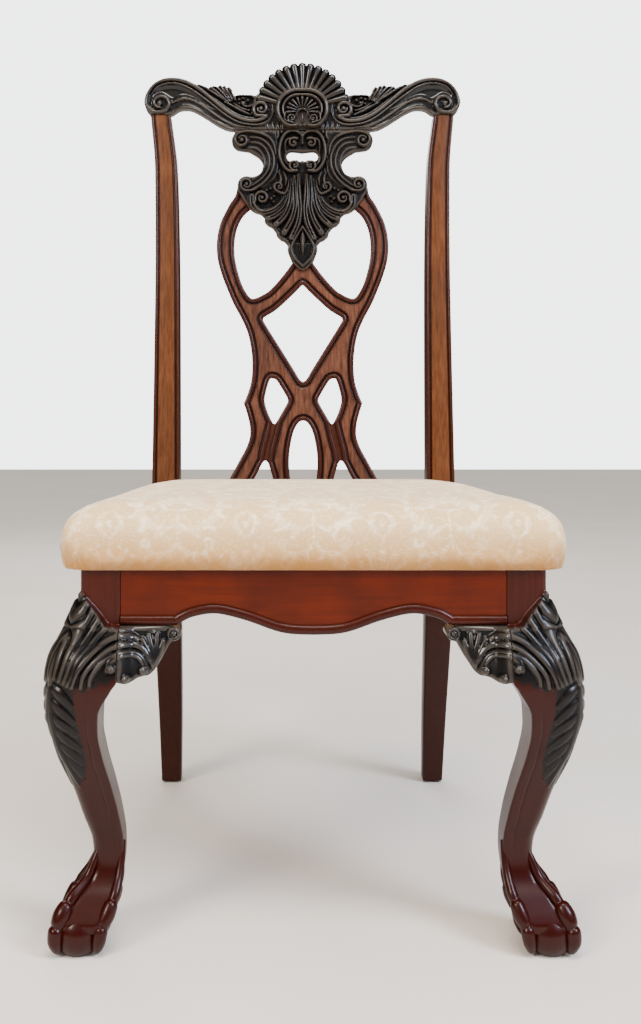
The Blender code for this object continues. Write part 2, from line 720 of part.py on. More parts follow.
def splat_foot_corners():
    slope = SHOE_TOP / math.cos(BACK_LEAN)
    middle = -SPLAT_THICK / 2
    half = SPLAT_FOOT_HALF - TENON_SHOULDER
    low = (-half, slope - SPLAT_TENON_LENGTH, middle - SPLAT_TENON_THICK / 2)
    high = (half, slope + SPLAT_BAR / 2, middle + SPLAT_TENON_THICK / 2)
    return low, high


def back_splat():
    outlines = [wound(along_slope(mirrored(splat_half())), True)]
    outlines += [wound(along_slope(hole), False) for hole in splat_holes()]
    place = BACK_FRAME @ Matrix.Translation((0, 0, -SPLAT_THICK / 2))
    part = make_part("back_splat", plate("splat", outlines, SPLAT_THICK, SPLAT_EDGE), MAHOGANY, place)
    hand = run([(x + HEAD_INSET if x else x, y) for x, y in HANDHOLD])
    hand = mirrored(joined(hand, [(0.0, HANDHOLD_LOW)]))
    head_lines = [wound(along_slope(mirrored(head_half())), True), wound(along_slope(hand), False)]
    depth = HEAD_PROUD + SPLAT_THICK / 2
    head = plate("head", head_lines, depth, SPLAT_EDGE)
    middle = BACK_FRAME @ Matrix.Translation((0, 0, HEAD_PROUD - depth / 2))
    combine(part, "UNION", make_cutter("splat_head", head, middle))
    for corners, label in ((splat_tenon_corners(), "top"), (splat_foot_corners(), "foot")):
        combine(part, "UNION", make_cutter(f"splat_{label}_tenon", box("tenon", *corners), BACK_FRAME))
    return part


def splat_shoe():
    """Shoe on the rear rail: upright back, coved front, top square to the leaning splat."""
    lean = math.tan(BACK_LEAN)
    top_front = (BACK_Y + SHOE_TOP * lean - POST_PROUD, RAIL_TOP + SHOE_TOP - FIT + POST_PROUD * lean)
    top_back_y = REAR_RAIL_FRONT_Y + RAIL_THICK
    top_back = (top_back_y, top_front[1] - lean * (top_back_y - top_front[0]))
    low = RAIL_TOP + FIT
    foot_y = POST_FRONT_Y - (SHOE_DEPTH - POST_SEAT_DEPTH + SHOE_COVE) / 2 + RAIL_SETBACK
    cove = (top_front[0] - SHOE_COVE / 4, (low + top_front[1]) / 2)
    profile = [(foot_y, low), (foot_y, low + SHOE_COVE), *run([cove, top_front]), top_back, (top_back_y, low)]
    half = POST_INNER_X - FIT
    rings = [[(x, y, z) for y, z in profile] for x in (-half, half)]
    part = make_part("splat_shoe", loft("shoe", rings), MAHOGANY)
    socket = box("socket", *grown(*splat_foot_corners()))
    combine(part, "DIFFERENCE", make_cutter("shoe_mortise", socket, BACK_FRAME))
    return part


# Seat rails

def rail_levels():
    return RAIL_BOTTOM + TENON_SHOULDER, RAIL_TOP - TENON_SHOULDER


def side_face(y, inset):
    """Distance from the middle of a side rail's face, which runs in toward the back."""
    front = BLOCK_X - RAIL_SETBACK
    rear = POST_OUTER_X - RAIL_SETBACK
    share = (y - LEG_BACK_Y) / (POST_FRONT_Y - LEG_BACK_Y)
    return front + (rear - front) * share - inset


def side_tenon_corners(side, rear):
    end = POST_FRONT_Y if rear else LEG_BACK_Y
    out = 1 if rear else -1
    reach = sorted((end - out * OVERLAP, end + out * TENON_LENGTH))
    centre = side * side_face(end, RAIL_THICK / 2)
    low, high = rail_levels()
    return (centre - TENON_THICK / 2, reach[0], low), (centre + TENON_THICK / 2, reach[1], high)


def rear_tenon_corners(side):
    reach = sorted((side * (POST_INNER_X - OVERLAP), side * (POST_INNER_X + TENON_LENGTH)))
    middle = REAR_RAIL_FRONT_Y + RAIL_THICK / 2 + TENON_THICK / 4
    low, high = rail_levels()
    return (reach[0], middle - TENON_THICK / 2, low), (reach[1], middle + TENON_THICK / 2, high)


def apron_tenon_corners(side):
    reach = sorted((side * (LEG_INNER_X - OVERLAP), side * (LEG_INNER_X + TENON_LENGTH)))
    middle = APRON_FRONT_Y + RAIL_THICK / 2
    low, high = rail_levels()
    low += BEAD_HEIGHT
    return (reach[0], middle - TENON_THICK / 2, low), (reach[1], middle + TENON_THICK / 2, high)


def side_rail(name, side):
    ends = (LEG_BACK_Y + FIT, POST_FRONT_Y - FIT)
    outline = [(side * side_face(y, 0), y) for y in ends]
    outline += [(side * side_face(y, RAIL_THICK), y) for y in reversed(ends)]
    place = Matrix.Translation((0, 0, (RAIL_TOP + RAIL_BOTTOM) / 2))
    part = make_part(f"{name}_side_rail", plate("rail", [outline], RAIL_HEIGHT), MAHOGANY, place)
    for rear in (False, True):
        tenon = box("tenon", *side_tenon_corners(side, rear))
        combine(part, "UNION", make_cutter(f"{name}_side_tenon_{int(rear)}", tenon))
    return part


def rear_seat_rail():
    half = POST_INNER_X - FIT
    low = (-half, REAR_RAIL_FRONT_Y, RAIL_BOTTOM)
    high = (half, REAR_RAIL_FRONT_Y + RAIL_THICK, RAIL_TOP)
    part = make_part("rear_seat_rail", box("rail", low, high), MAHOGANY)
    for name, side in SIDES:
        combine(part, "UNION", make_cutter(f"{name}_rear_tenon", box("tenon", *rear_tenon_corners(side))))
    return part


def apron_edge():
    """Right half of the apron's lower edge, from the middle to the leg."""
    wave = run([*APRON_EDGE, (APRON_FLAT_START, 0.0)])
    return [(x, RAIL_BOTTOM + rise) for x, rise in joined(wave, [(LEG_INNER_X - FIT, 0.0)])]


def front_apron():
    half = [(0.0, RAIL_TOP), (LEG_INNER_X - FIT, RAIL_TOP)]
    half += [(x, z + BEAD_HEIGHT) for x, z in reversed(apron_edge())]
    place = Matrix.Translation((0, APRON_FRONT_Y + RAIL_THICK / 2, 0)) @ UPRIGHT
    part = make_part("front_apron", plate("apron", [mirrored(half)], RAIL_THICK), APRON_WOOD, place)
    for name, side in SIDES:
        combine(part, "UNION", make_cutter(f"{name}_apron_tenon", box("tenon", *apron_tenon_corners(side))))
    return part


def apron_bead():
    edge = apron_edge()
    half = edge + [(x, z + BEAD_HEIGHT - FIT) for x, z in reversed(edge)]
    outline = wound(mirrored(half), True)
    place = Matrix.Translation((0, APRON_FRONT_Y - BEAD_PROUD + BEAD_DEPTH / 2, 0)) @ UPRIGHT
    mesh = plate("bead", [outline], BEAD_DEPTH, BEAD_ROUND, 1)
    return make_part("apron_bead", mesh, MAHOGANY, place)


# Front legs

def leg_point(side, out, ahead, height):
    """Point by its outward and forward offsets from the block's outer corner."""
    return side * (BLOCK_X + out), -(BLOCK_Y + ahead), height


def leg_ring(side, outer, inner, corner, height, other=POST_EDGE):
    quad = ((outer, outer), (inner, outer), (inner, inner), (outer, inner))
    ring = rounded_quad(quad, (corner, other, other, other), KNEE_CORNER_STEPS)
    return [leg_point(side, out, ahead, height) for out, ahead in ring]


def leg_rings(side, steps=KNEE_STEPS):
    rings = [leg_ring(side, outer, inner, FOOT_CORNER, height, FOOT_CORNER)
             for height, outer, inner in FOOT_PROFILE]
    for step in range(steps + 1):
        share = step / steps
        outer, inner, corner = table_row(KNEE_PROFILE, share)
        height = ANKLE_HEIGHT + share * (RAIL_BOTTOM - ANKLE_HEIGHT)
        rings.append(leg_ring(side, outer, inner, corner, height))
    for height in (RAIL_BOTTOM + FIT, RAIL_TOP):
        rings.append(leg_ring(side, 0.0, -LEG_BLOCK, BLOCK_CORNER, height))
    return rings


def talon(name, side, knots, turned_over=False):
    """Jointed claw that lies over the ball along its own line; turned over, out and ahead change places."""
    rings = []
    path = [Vector(knot[:3]) for knot in knots]
    for i, (place, knot) in enumerate(zip(path, knots)):
        along = (path[min(i + 1, len(path) - 1)] - path[max(i - 1, 0)]).normalized()
        away = Vector((place.x - FOOT_MIDDLE, place.y - FOOT_MIDDLE, TALON_RISE))
        lift = (away - along * away.dot(along)).normalized()
        across = along.cross(lift)
        ring = []
        for k in range(TALON_SIDES):
            angle = 2 * math.pi * k / TALON_SIDES
            point = place + (lift * math.cos(angle) + across * math.sin(angle)) * TALON_RADIUS * knot[3]
            out, ahead = (point.y, point.x) if turned_over else (point.x, point.y)
            ring.append(leg_point(side, out, ahead, point.z))
        rings.append(ring)
    return make_cutter(name, loft(name, rings))


def front_leg(name, side):
    part = make_part(f"{name}_front_leg", loft("leg", leg_rings(side)), MAHOGANY)
    bm = bmesh.new()
    bmesh.ops.create_uvsphere(bm, u_segments=BALL_SIDES, v_segments=BALL_RINGS, radius=BALL_RADIUS)
    centre = leg_point(side, BALL_OFFSET, BALL_OFFSET, FOOT_BOTTOM + BALL_RADIUS - BALL_BOTTOM_FLAT)
    ball = make_cutter(f"{name}_ball", finish_mesh("ball", bm), Matrix.Translation(centre))
    combine(part, "UNION", ball)
    talons = ((CORNER_TALON, False), (INNER_TALON, False), (INNER_TALON, True), (BACK_TALON, False))
    for i, (knots, turned_over) in enumerate(talons):
        combine(part, "UNION", talon(f"{name}_talon_{i}", side, knots, turned_over))
    sole = box("sole", leg_point(side, -LEG_BLOCK * 2, -LEG_BLOCK * 2, -LEG_BLOCK),
               leg_point(side, LEG_BLOCK * 2, LEG_BLOCK * 2, FOOT_BOTTOM))
    combine(part, "DIFFERENCE", make_cutter(f"{name}_sole", sole))
    for corners, label in ((side_tenon_corners(side, False), "side"), (apron_tenon_corners(side), "apron")):
        socket = box("socket", *grown(*corners))
        combine(part, "DIFFERENCE", make_cutter(f"{name}_leg_{label}_mortise", socket))
    return part


def knee_bracket(name, side, along_side):
    """Bracket between a knee and the rail above it: along the front, or along the side rail."""
    top = RAIL_BOTTOM - FIT
    turn = (side_face(LEG_BACK_Y, 0) - side_face(LEG_BACK_Y + 1, 0)) if along_side else 0.0

    def place(distance, ahead, height):
        back = -(LEG_BLOCK + FIT + distance)
        shifted = ahead - turn * distance
        return leg_point(side, shifted, back, height) if along_side else leg_point(side, back, ahead, height)

    rings = []
    steps = BRACKET_STEPS
    for step in range(steps + 1):
        drop, low_bulge, top_bulge = table_row(BRACKET_SHAPE, step / steps)
        swell = (top_bulge + (low_bulge - top_bulge) * BRACKET_SWELL, top - drop / 2)
        face = run([(top_bulge, top), swell, (low_bulge, top - drop)])
        section = face + [(BRACKET_BACK, top - drop), (BRACKET_BACK, top)]
        distance = step / steps * (BRACKET_LENGTH - BRACKET_SCROLL_RADIUS / 2)
        rings.append([place(distance, ahead, height) for ahead, height in section])
    where = "side" if along_side else "front"
    part = make_part(f"{name}_{where}_bracket", loft("bracket", rings), CARVED)
    scroll_height = top - BRACKET_SCROLL_RADIUS - BRACKET_SCROLL_DROP
    centre = place(BRACKET_LENGTH - BRACKET_SCROLL_RADIUS, 0, scroll_height)
    roll = rod("roll", BRACKET_SCROLL_RADIUS, BRACKET_BACK + OVERLAP, BRACKET_SCROLL_PROUD, ROLL_SIDES)
    facing = Matrix.Rotation(math.pi / 2, 4, "X")
    if along_side:
        facing = Matrix.Rotation(side * math.pi / 2, 4, "Y")
    tool = make_cutter(f"{name}_{where}_roll", roll, Matrix.Translation(centre) @ facing)
    combine(part, "UNION", tool)
    return part


# Corner blocks and screws

def screw_profile(head_side, tip):
    """Pan-head screw along Z: head above zero, tip below."""
    return [(0.0, head_side + SCREW_HEAD_THICK), (SCREW_HEAD_RADIUS, head_side + SCREW_HEAD_THICK),
            (SCREW_HEAD_RADIUS, head_side), (SCREW_RADIUS, head_side), (SCREW_RADIUS, tip + SCREW_RADIUS),
            (0.0, tip)]


def screw(name, place, in_block, in_wood, cut_parts):
    """Screw whose seat is in_block from the wood's face; its bore is cut from the parts it passes."""
    turned(name, screw_profile(in_block, -in_wood), STEEL, place)
    hole = rod("shaft", SCREW_RADIUS + FIT, -in_wood - FIT, in_block + OVERLAP)
    shaft = make_cutter(f"{name}_shaft", hole, place)
    well = rod("well", SCREW_HEAD_RADIUS + FIT, in_block - FIT, in_block + BLOCK_REACH)
    well = make_cutter(f"{name}_well", well, place)
    for part in cut_parts:
        combine(part, "DIFFERENCE", shaft)
    combine(cut_parts[0], "DIFFERENCE", well)


def block_outline(side, rear):
    """Corner block in plan: along both rails, notched round the leg or post, and cut across."""
    ahead = -1 if rear else 1
    corner = (POST_INNER_X, POST_FRONT_Y) if rear else (LEG_INNER_X, LEG_BACK_Y)
    rail = REAR_RAIL_FRONT_Y if rear else APRON_BACK_Y
    near = corner[1] + ahead * FIT
    far = corner[1] + ahead * BLOCK_SIDE_REACH
    outline = [(corner[0] - FIT, rail + ahead * FIT), (corner[0] - FIT, near),
               (side_face(near, RAIL_THICK + FIT), near), (side_face(far, RAIL_THICK + FIT), far),
               (corner[0] - BLOCK_REACH, rail + ahead * FIT)]
    return [(side * x, y) for x, y in outline]


def corner_block(name, side, rear, rail, side_rail_part, board):
    ahead = -1 if rear else 1
    corner = (POST_INNER_X, POST_FRONT_Y) if rear else (LEG_INNER_X, LEG_BACK_Y)
    end = "rear" if rear else "front"
    middle = RAIL_TOP - BLOCK_DROP - BLOCK_HEIGHT / 2
    mesh = plate("block", [block_outline(side, rear)], BLOCK_HEIGHT)
    part = make_part(f"{end}_{name}_block", mesh, HIDDEN_WOOD, Matrix.Translation((0, 0, middle)))
    rail_y = REAR_RAIL_FRONT_Y if rear else APRON_BACK_Y
    across = Matrix.Translation((side * (corner[0] - SCREW_OFFSET), rail_y, middle))
    across @= Matrix.Rotation(-ahead * math.pi / 2, 4, "X")
    screw(f"{end}_{name}_rail_screw", across, SCREW_IN_BLOCK, SCREW_IN_RAIL, [part, rail])
    y = corner[1] + ahead * SCREW_OFFSET
    skew = math.atan(side_face(0, 0) - side_face(1, 0))
    along = Matrix.Translation((side * side_face(y, RAIL_THICK), y, middle))
    along @= Matrix.Rotation(side * skew, 4, "Z") @ Matrix.Rotation(-side * math.pi / 2, 4, "Y")
    screw(f"{end}_{name}_side_screw", along, SCREW_IN_BLOCK, SCREW_IN_RAIL, [part, side_rail_part])
    y = corner[1] + ahead * SEAT_SCREW_AHEAD
    upright = Matrix.Translation((side * side_face(y, RAIL_THICK + SEAT_SCREW_IN), y, board_bottom()))
    upright @= Matrix.Rotation(math.pi, 4, "X")
    screw(f"{end}_{name}_seat_screw", upright, SEAT_SCREW_IN_BLOCK, SEAT_SCREW_IN_BOARD, [part, board])
    return part


# Seat

def cushion_half(y):
    """Half the seat's widest outline, which narrows toward the back."""
    depth = POST_FRONT_Y - CUSHION_REAR_GAP + CUSHION_FRONT
    return CUSHION_FRONT_HALF - (CUSHION_FRONT_HALF - CUSHION_REAR_HALF) * (y + CUSHION_FRONT) / depth


def cushion_ring(inset, height, steps=SEAT_CORNER_STEPS, edge_points=SEAT_EDGE_POINTS):
    """Ring round the seat at an inset from its widest outline."""
    front = -CUSHION_FRONT + inset
    rear = POST_FRONT_Y - CUSHION_REAR_GAP - inset
    front_half = cushion_half(front) - inset
    rear_half = cushion_half(rear) - inset
    corners = ((-front_half, front), (front_half, front), (rear_half, rear), (-rear_half, rear))
    radius = max(CUSHION_CORNER - inset * CORNER_TIGHTENING, CUSHION_CORNER * CORNER_LEAST)
    corner_points = rounded_quad(corners, [radius] * 4, steps)
    ring = []
    for i in range(4):
        ring += corner_points[i * steps:(i + 1) * steps]
        start = corner_points[(i + 1) * steps - 1]
        end = corner_points[((i + 1) * steps) % len(corner_points)]
        for k in range(1, edge_points):
            t = k / edge_points
            ring.append(tuple(start[axis] + (end[axis] - start[axis]) * t for axis in range(2)))
    return [(x, y, RAIL_TOP + height) for x, y in ring]


def board_bottom():
    return RAIL_TOP + 2 * FIT + COVER_THICK


def seat_board():
    ring = [(x, y) for x, y, z in cushion_ring(BOARD_INSET, 0.0)]
    place = Matrix.Translation((0, 0, board_bottom() + BOARD_THICK / 2))
    return make_part("seat_board", plate("board", [ring], BOARD_THICK), PLYWOOD, place)


def seat_foam():
    """Pad on the board, under the cover and a little smaller all round."""
    ease = COVER_THICK + FOAM_EASE
    low = board_bottom() - RAIL_TOP + BOARD_THICK + FIT
    insets = [inset for inset, height in CUSHION_PROFILE]
    heights = [height for inset, height in CUSHION_PROFILE]
    rings = [cushion_ring(smooth_value(heights, insets, low) + ease + FOAM_EASE, low)]
    for inset, height in CUSHION_PROFILE:
        if height > low + COVER_THICK:
            rings.append(cushion_ring(inset + ease, height - ease))
    return make_part("seat_foam", loft("foam", rings), FOAM)


def seat_cover():
    """Cloth shell: crown, drawn-in sides, and a hem turned under the board."""
    base = CUSHION_PROFILE[0][0]
    rings = [cushion_ring(base + HEM_WIDTH, FIT)]
    rings += [cushion_ring(inset, height + FIT) for inset, height in CUSHION_PROFILE]
    bm = bmesh.new()
    loops = [[bm.verts.new(point) for point in ring] for ring in rings]
    for first, second in zip(loops, loops[1:]):
        for i in range(len(first)):
            bm.faces.new((first[i - 1], first[i], second[i], second[i - 1]))
    bm.faces.new(loops[-1])
    part = make_part("seat_cover", finish_mesh("cover", bm), DAMASK)
    skin = part.modifiers.new("cloth", "SOLIDIFY")
    skin.thickness = COVER_THICK
    skin.offset = -1.0
    return part


def dust_cover():
    """Cloth panel under the board, inside the hem, with its corners cut clear of the seat screws."""
    inset = CUSHION_PROFILE[0][0] + HEM_WIDTH + DUST_EDGE
    front = -CUSHION_FRONT + inset
    rear = POST_FRONT_Y - CUSHION_REAR_GAP - inset
    cut = SEAT_SCREW_AHEAD + DUST_CORNER_CUT
    front_y = LEG_BACK_Y + cut
    rear_y = POST_FRONT_Y - cut
    half = [(0.0, front), (LEG_INNER_X - cut, front), (cushion_half(front_y) - inset, front_y),
            (cushion_half(rear_y) - inset, rear_y), (POST_INNER_X - cut, rear), (0.0, rear)]
    place = Matrix.Translation((0, 0, board_bottom() - FIT - DUST_THICK / 2))
    return make_part("dust_cover", plate("dust", [mirrored(half)], DUST_THICK), CAMBRIC, place)


def glide(name, x, y):
    profile = [(0.0, GLIDE_THICK), (GLIDE_RADIUS, GLIDE_THICK), (GLIDE_RADIUS, GLIDE_EDGE),
               (GLIDE_RADIUS - GLIDE_EDGE, 0.0), (0.0, 0.0)]
    return turned(name, profile, NYLON, Matrix.Translation((x, y, 0)), ROLL_SIDES)


def build_chair():
    crest_rail()
    crest_shell()
    back_splat()
    splat_shoe()
    rear_rail = rear_seat_rail()
    apron = front_apron()
    apron_bead()
    board = seat_board()
    seat_foam()
    seat_cover()
    dust_cover()
    foot_centre = POST_LEG[0][1] * POST_SEAT_CENTRE
    rear_foot_y = POST_FRONT_Y + REAR_RAKE + REAR_FOOT_DEPTH / 2
    for name, side in SIDES:
        rear_post(name, side)
        front_leg(name, side)
        rail = side_rail(name, side)
        for along_side in (False, True):
            knee_bracket(name, side, along_side)
        corner_block(name, side, False, apron, rail, board)
        corner_block(name, side, True, rear_rail, rail, board)
        x, y, z = leg_point(side, BALL_OFFSET, BALL_OFFSET, 0)
        glide(f"front_{name}_glide", x, y)
        glide(f"rear_{name}_glide", side * foot_centre, rear_foot_y)
    bpy.context.view_layer.update()


build_chair()
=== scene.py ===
"""Carved dining side chair: carving, upholstery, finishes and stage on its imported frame.

Places are in metres in the frame's own space. Carving is drawn in millimetres: across, then up the leaning back
from the seat rail's top.
"""

import math
from functools import partial

import bmesh
import bpy
import numpy as np
from mathutils import Matrix, Vector
from mathutils.geometry import delaunay_2d_cdt
from mathutils.kdtree import KDTree


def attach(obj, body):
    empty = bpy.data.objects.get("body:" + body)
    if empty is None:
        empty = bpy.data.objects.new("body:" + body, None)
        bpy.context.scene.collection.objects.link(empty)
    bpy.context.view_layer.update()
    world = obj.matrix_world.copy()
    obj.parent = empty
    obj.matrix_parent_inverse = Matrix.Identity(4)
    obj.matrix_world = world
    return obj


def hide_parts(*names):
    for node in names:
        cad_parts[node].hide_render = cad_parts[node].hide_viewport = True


bl_info = {
    "name": "Carved Dining Side Chair",
    "version": (1, 0, 0),
    "blender": (4, 5, 0),
    "location": "View3D > Sidebar > Chair",
    "description": "Carving, upholstery, finishes and stage for the packed chair",
    "category": "Object",
}

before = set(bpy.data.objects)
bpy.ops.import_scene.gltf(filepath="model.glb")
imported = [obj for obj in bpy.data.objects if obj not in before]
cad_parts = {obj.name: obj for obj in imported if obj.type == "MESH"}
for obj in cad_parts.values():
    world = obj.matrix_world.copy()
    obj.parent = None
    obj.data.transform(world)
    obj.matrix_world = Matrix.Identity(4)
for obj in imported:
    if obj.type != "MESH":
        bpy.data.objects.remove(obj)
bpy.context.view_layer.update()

MM = 0.001
SIDES = (("left", -1), ("right", 1))

# Places repeated from the part's source
RAIL_TOP = 0.418
RAIL_BOTTOM = 0.357
BLOCK_X = 0.2589
BLOCK_Y = 0.2573
POST_FRONT_Y = 0.172
BACK_LEAN = math.radians(7.0)
BACK_Y = POST_FRONT_Y + 0.004 / math.cos(BACK_LEAN)
BACK_FRAME = Matrix.Translation((0, BACK_Y, RAIL_TOP)) @ Matrix.Rotation(math.pi / 2 - BACK_LEAN, 4, "X")


def linear(code):
    """Linear RGBA from an sRGB hex value."""
    values = [int(code[i:i + 2], 16) / 255 for i in (1, 3, 5)]
    return tuple(v / 12.92 if v <= 0.04045 else ((v + 0.055) / 1.055) ** 2.4 for v in values) + (1.0,)


def colour(name, description, code):
    return bpy.props.FloatVectorProperty(
        name=name, description=description, subtype="COLOR", size=4, min=0.0, max=1.0, default=linear(code))


def length(name, description, default):
    return bpy.props.FloatProperty(name=name, description=description, unit="LENGTH", default=default, min=0.0)


class ChairSizes(bpy.types.PropertyGroup):
    """Sizes of the carving and upholstery."""
    bead: length("Edge bead", "Width of the bead along straps and posts", 0.0066)
    bead_rise: length("Bead rise", "How far the bead is rounded", 0.0024)
    groove: length("Groove", "Width of the groove inside the bead", 0.003)
    groove_depth: length("Groove depth", "Depth of that groove", 0.0026)
    carving_step: length("Carving step", "Distance between points of the carved faces", 0.00095)
    lobes: bpy.props.IntProperty(name="Shell lobes", description="Lobes of the crest's fan", default=15, min=5)
    petals: bpy.props.IntProperty(name="Small shell petals", description="Petals in the medallion", default=11, min=5)
    repeat: length("Damask repeat", "Width of the cloth's repeat", 0.15)
    thread: length("Thread spacing", "Distance between threads, drawn coarse enough to show", 0.0011)


class ChairColours(bpy.types.PropertyGroup):
    """Colours of the finishes."""
    mahogany: colour("Mahogany", "Straps and rails", "#66402F")
    mahogany_grain: colour("Mahogany grain", "Darker grain of the same wood", "#2A1209")
    # Post colours: partly the wood's own brown, partly painted sheen, paler than the straps' wood to stand for the
    # satin reflection on the leaning posts
    brown_mahogany: colour("Post mahogany", "Paler brown of the posts", "#623A20")
    brown_mahogany_grain: colour("Post grain", "Darker grain of the posts", "#3A1805")
    dark_mahogany: colour("Leg mahogany", "Deep red brown of the legs and side rails", "#421002")
    dark_mahogany_grain: colour("Leg grain", "Darker grain of the legs", "#220500")
    red_mahogany: colour("Apron mahogany", "Warm face of the apron", "#581800")
    red_mahogany_grain: colour("Apron grain", "Darker grain of the apron", "#330B00")
    # Deep colour: on the rear posts below the seat it is painted shade under the seat; elsewhere it darkens the front
    # legs towards the bottom, and the mouldings and the splat's sunk lane
    deep: colour("Deep mahogany", "Wood low down and in mouldings, where less is rubbed off", "#230200")
    glaze: colour("Glaze", "Dark finish left in the hollows", "#030202")
    carved: colour("Carved finish", "Dark finish over the carving", "#0F0D0C")
    rubbed: colour("Rubbed edge", "Brown where the finish is rubbed thin", "#38312B")
    cream: colour("Damask ground", "Matt ground of the cloth", "#DAB47E")
    figure: colour("Damask figure", "Satin figure of the cloth", "#FAE2BA")
    # Golden colour mixed in low on the cushion's front: painted warm light bounced up from the floor and apron, plus a
    # slow random change of tone
    gold_bounce_and_tone: colour("Aged cloth", "Golden tone low on the cushion", "#A0660A")
    hardwood: colour("Hardwood", "Unfinished corner blocks", "#B98D5A")
    plywood: colour("Plywood", "Seat board", "#C9A677")
    cambric: colour("Cambric", "Dust cover", "#17171A")
    steel: colour("Steel", "Zinc plated screws", "#B9BAB4")
    nylon: colour("Nylon", "Glides", "#241F1B")
    floor: colour("Floor", "Pale stage floor", "#D9D0C6")


def sizes():
    return bpy.context.scene.chair_sizes


def tint(name):
    return tuple(getattr(bpy.context.scene.chair_colours, name))


# Lines and fields

def smooth_run(points, spacing, closed=False):
    """Evenly spaced points on a smooth line through the given ones."""
    knots = np.array(points, float)
    if closed:
        knots = np.vstack([knots[-1], knots, knots[0], knots[1]])
    else:
        knots = np.vstack([knots[0], knots, knots[-1]])
    t = np.linspace(0, 1, 14, endpoint=False)[:, None]
    pieces = []
    for a, b, c, d in zip(knots, knots[1:], knots[2:], knots[3:]):
        pieces.append(0.5 * (2 * b + (c - a) * t + (2 * a - 5 * b + 4 * c - d) * t ** 2
                             + (3 * b - a - 3 * c + d) * t ** 3))
    fine = np.vstack(pieces + [knots[-2][None, :]])
    along = np.concatenate([[0], np.cumsum(np.linalg.norm(np.diff(fine, axis=0), axis=1))])
    count = max(2, int(round(along[-1] / spacing)) + 1)
    even = np.linspace(0, along[-1], count)
    return np.column_stack([np.interp(even, along, fine[:, k]) for k in range(fine.shape[1])])


def outline(spacing, *runs):
    """Closed outline from smooth runs that meet at corners."""
    path = []
    for run in runs:
        for point in smooth_run(run, spacing):
            if not path or math.dist(path[-1], point) > spacing * 0.35:
                path.append(tuple(point))
    if math.dist(path[0], path[-1]) < spacing * 0.35:
        path.pop()
    return np.array(path)


def mirrored(half):
    """Closed outline from its right half, which starts and ends on the middle line."""
    half = [tuple(p) for p in half]
    return np.array(half + [(-x, y) for x, y in reversed(half) if abs(x) > 1e-6])


def flipped(path):
    return np.array(path)[::-1] * (-1, 1)


def polar(centre, reach, angles):
    """Points at reaches and angles round a centre; angles in degrees."""
    return [(centre[0] + r * math.cos(a), centre[1] + r * math.sin(a)) for r, a in zip(reach, np.radians(angles))]


def arc(centre, radius, start, end, steps=24):
    return polar(centre, [radius] * (steps + 1), np.linspace(start, end, steps + 1))


def spiral(centre, radius, start, turn, eye):
    """Points from the rim of a volute round into its eye."""
    shares = np.linspace(0, 1, max(8, int(abs(turn) / 12)))
    return polar(centre, radius + (eye - radius) * shares ** 0.85, start + turn * shares)


def distances(points, path, closed=False):
    """Distance of each point from a path, and how far along the path its nearest place is."""
    first = path if closed else path[:-1]
    second = np.roll(path, -1, axis=0) if closed else path[1:]
    step = second - first
    span = np.maximum((step ** 2).sum(1), 1e-12)
    before = np.concatenate([[0], np.cumsum(np.sqrt(span))])[:-1]
    best = np.full(len(points), 1e9)
    where = np.zeros(len(points))
    for start in range(0, len(points), 3000):
        part = slice(start, start + 3000)
        away = points[part, None, :] - first[None, :, :]
        t = np.clip((away * step[None]).sum(2) / span, 0, 1)
        gap = ((away - t[..., None] * step[None]) ** 2).sum(2)
        nearest = gap.argmin(1)
        rows = np.arange(len(gap))
        best[part] = np.sqrt(gap[rows, nearest])
        where[part] = before[nearest] + t[rows, nearest] * np.sqrt(span[nearest])
    return best, where


def inside(points, outlines):
    """Which points lie within the outlines, holes left out."""
    a = np.vstack(outlines)
    b = np.vstack([np.roll(path, -1, axis=0) for path in outlines])
    low, high = np.minimum(a[:, 1], b[:, 1]), np.maximum(a[:, 1], b[:, 1])
    hit = np.zeros(len(points), bool)
    for rows in np.array_split(np.argsort(points[:, 1]), len(points) // 400 + 1):
        if len(rows):
            part = points[rows]
            near = (low <= part[:, 1].max()) & (high >= part[:, 1].min()) & (high > low)
            p, q = a[near], b[near]
            y = part[:, 1, None]
            crosses = (p[None, :, 1] > y) != (q[None, :, 1] > y)
            x = p[None, :, 0] + (y - p[None, :, 1]) * ((q - p)[:, 0] / (q - p)[:, 1])[None]
            hit[rows] = (crosses & (part[:, 0, None] < x)).sum(1) % 2 == 1
    return hit


def edge_tree(outlines):
    """Search tree of places along outlines, close enough together to measure from."""
    places = np.vstack([smooth_run(path, 0.3, closed=True) for path in outlines])
    tree = KDTree(len(places))
    for i, (x, y) in enumerate(places):
        tree.insert((x, y, 0), i)
    tree.balance()
    return tree


def edge_gap(points, tree):
    """Distance of each point from the nearest outline."""
    return np.array([tree.find((x, y, 0))[2] for x, y in points])


def hex_field(low, high, spacing):
    """Staggered points over a box."""
    rows = np.arange(low[1], high[1], spacing * 0.866)
    field = [np.arange(low[0] + (i % 2) * spacing / 2, high[0], spacing) for i in range(len(rows))]
    return np.vstack([np.column_stack([row, np.full(len(row), y)]) for row, y in zip(field, rows)])


def folded(points):
    """Points with the left half laid over the right."""
    return np.hstack([np.abs(points[:, :1]), points[:, 1:2]])


def rounded_off(gap, width, drop):
    """How far a rounded edge lies below its face, by distance in from the edge."""
    return drop * (1 - np.sqrt(1 - (1 - np.clip(gap / width, 0, 1)) ** 2))


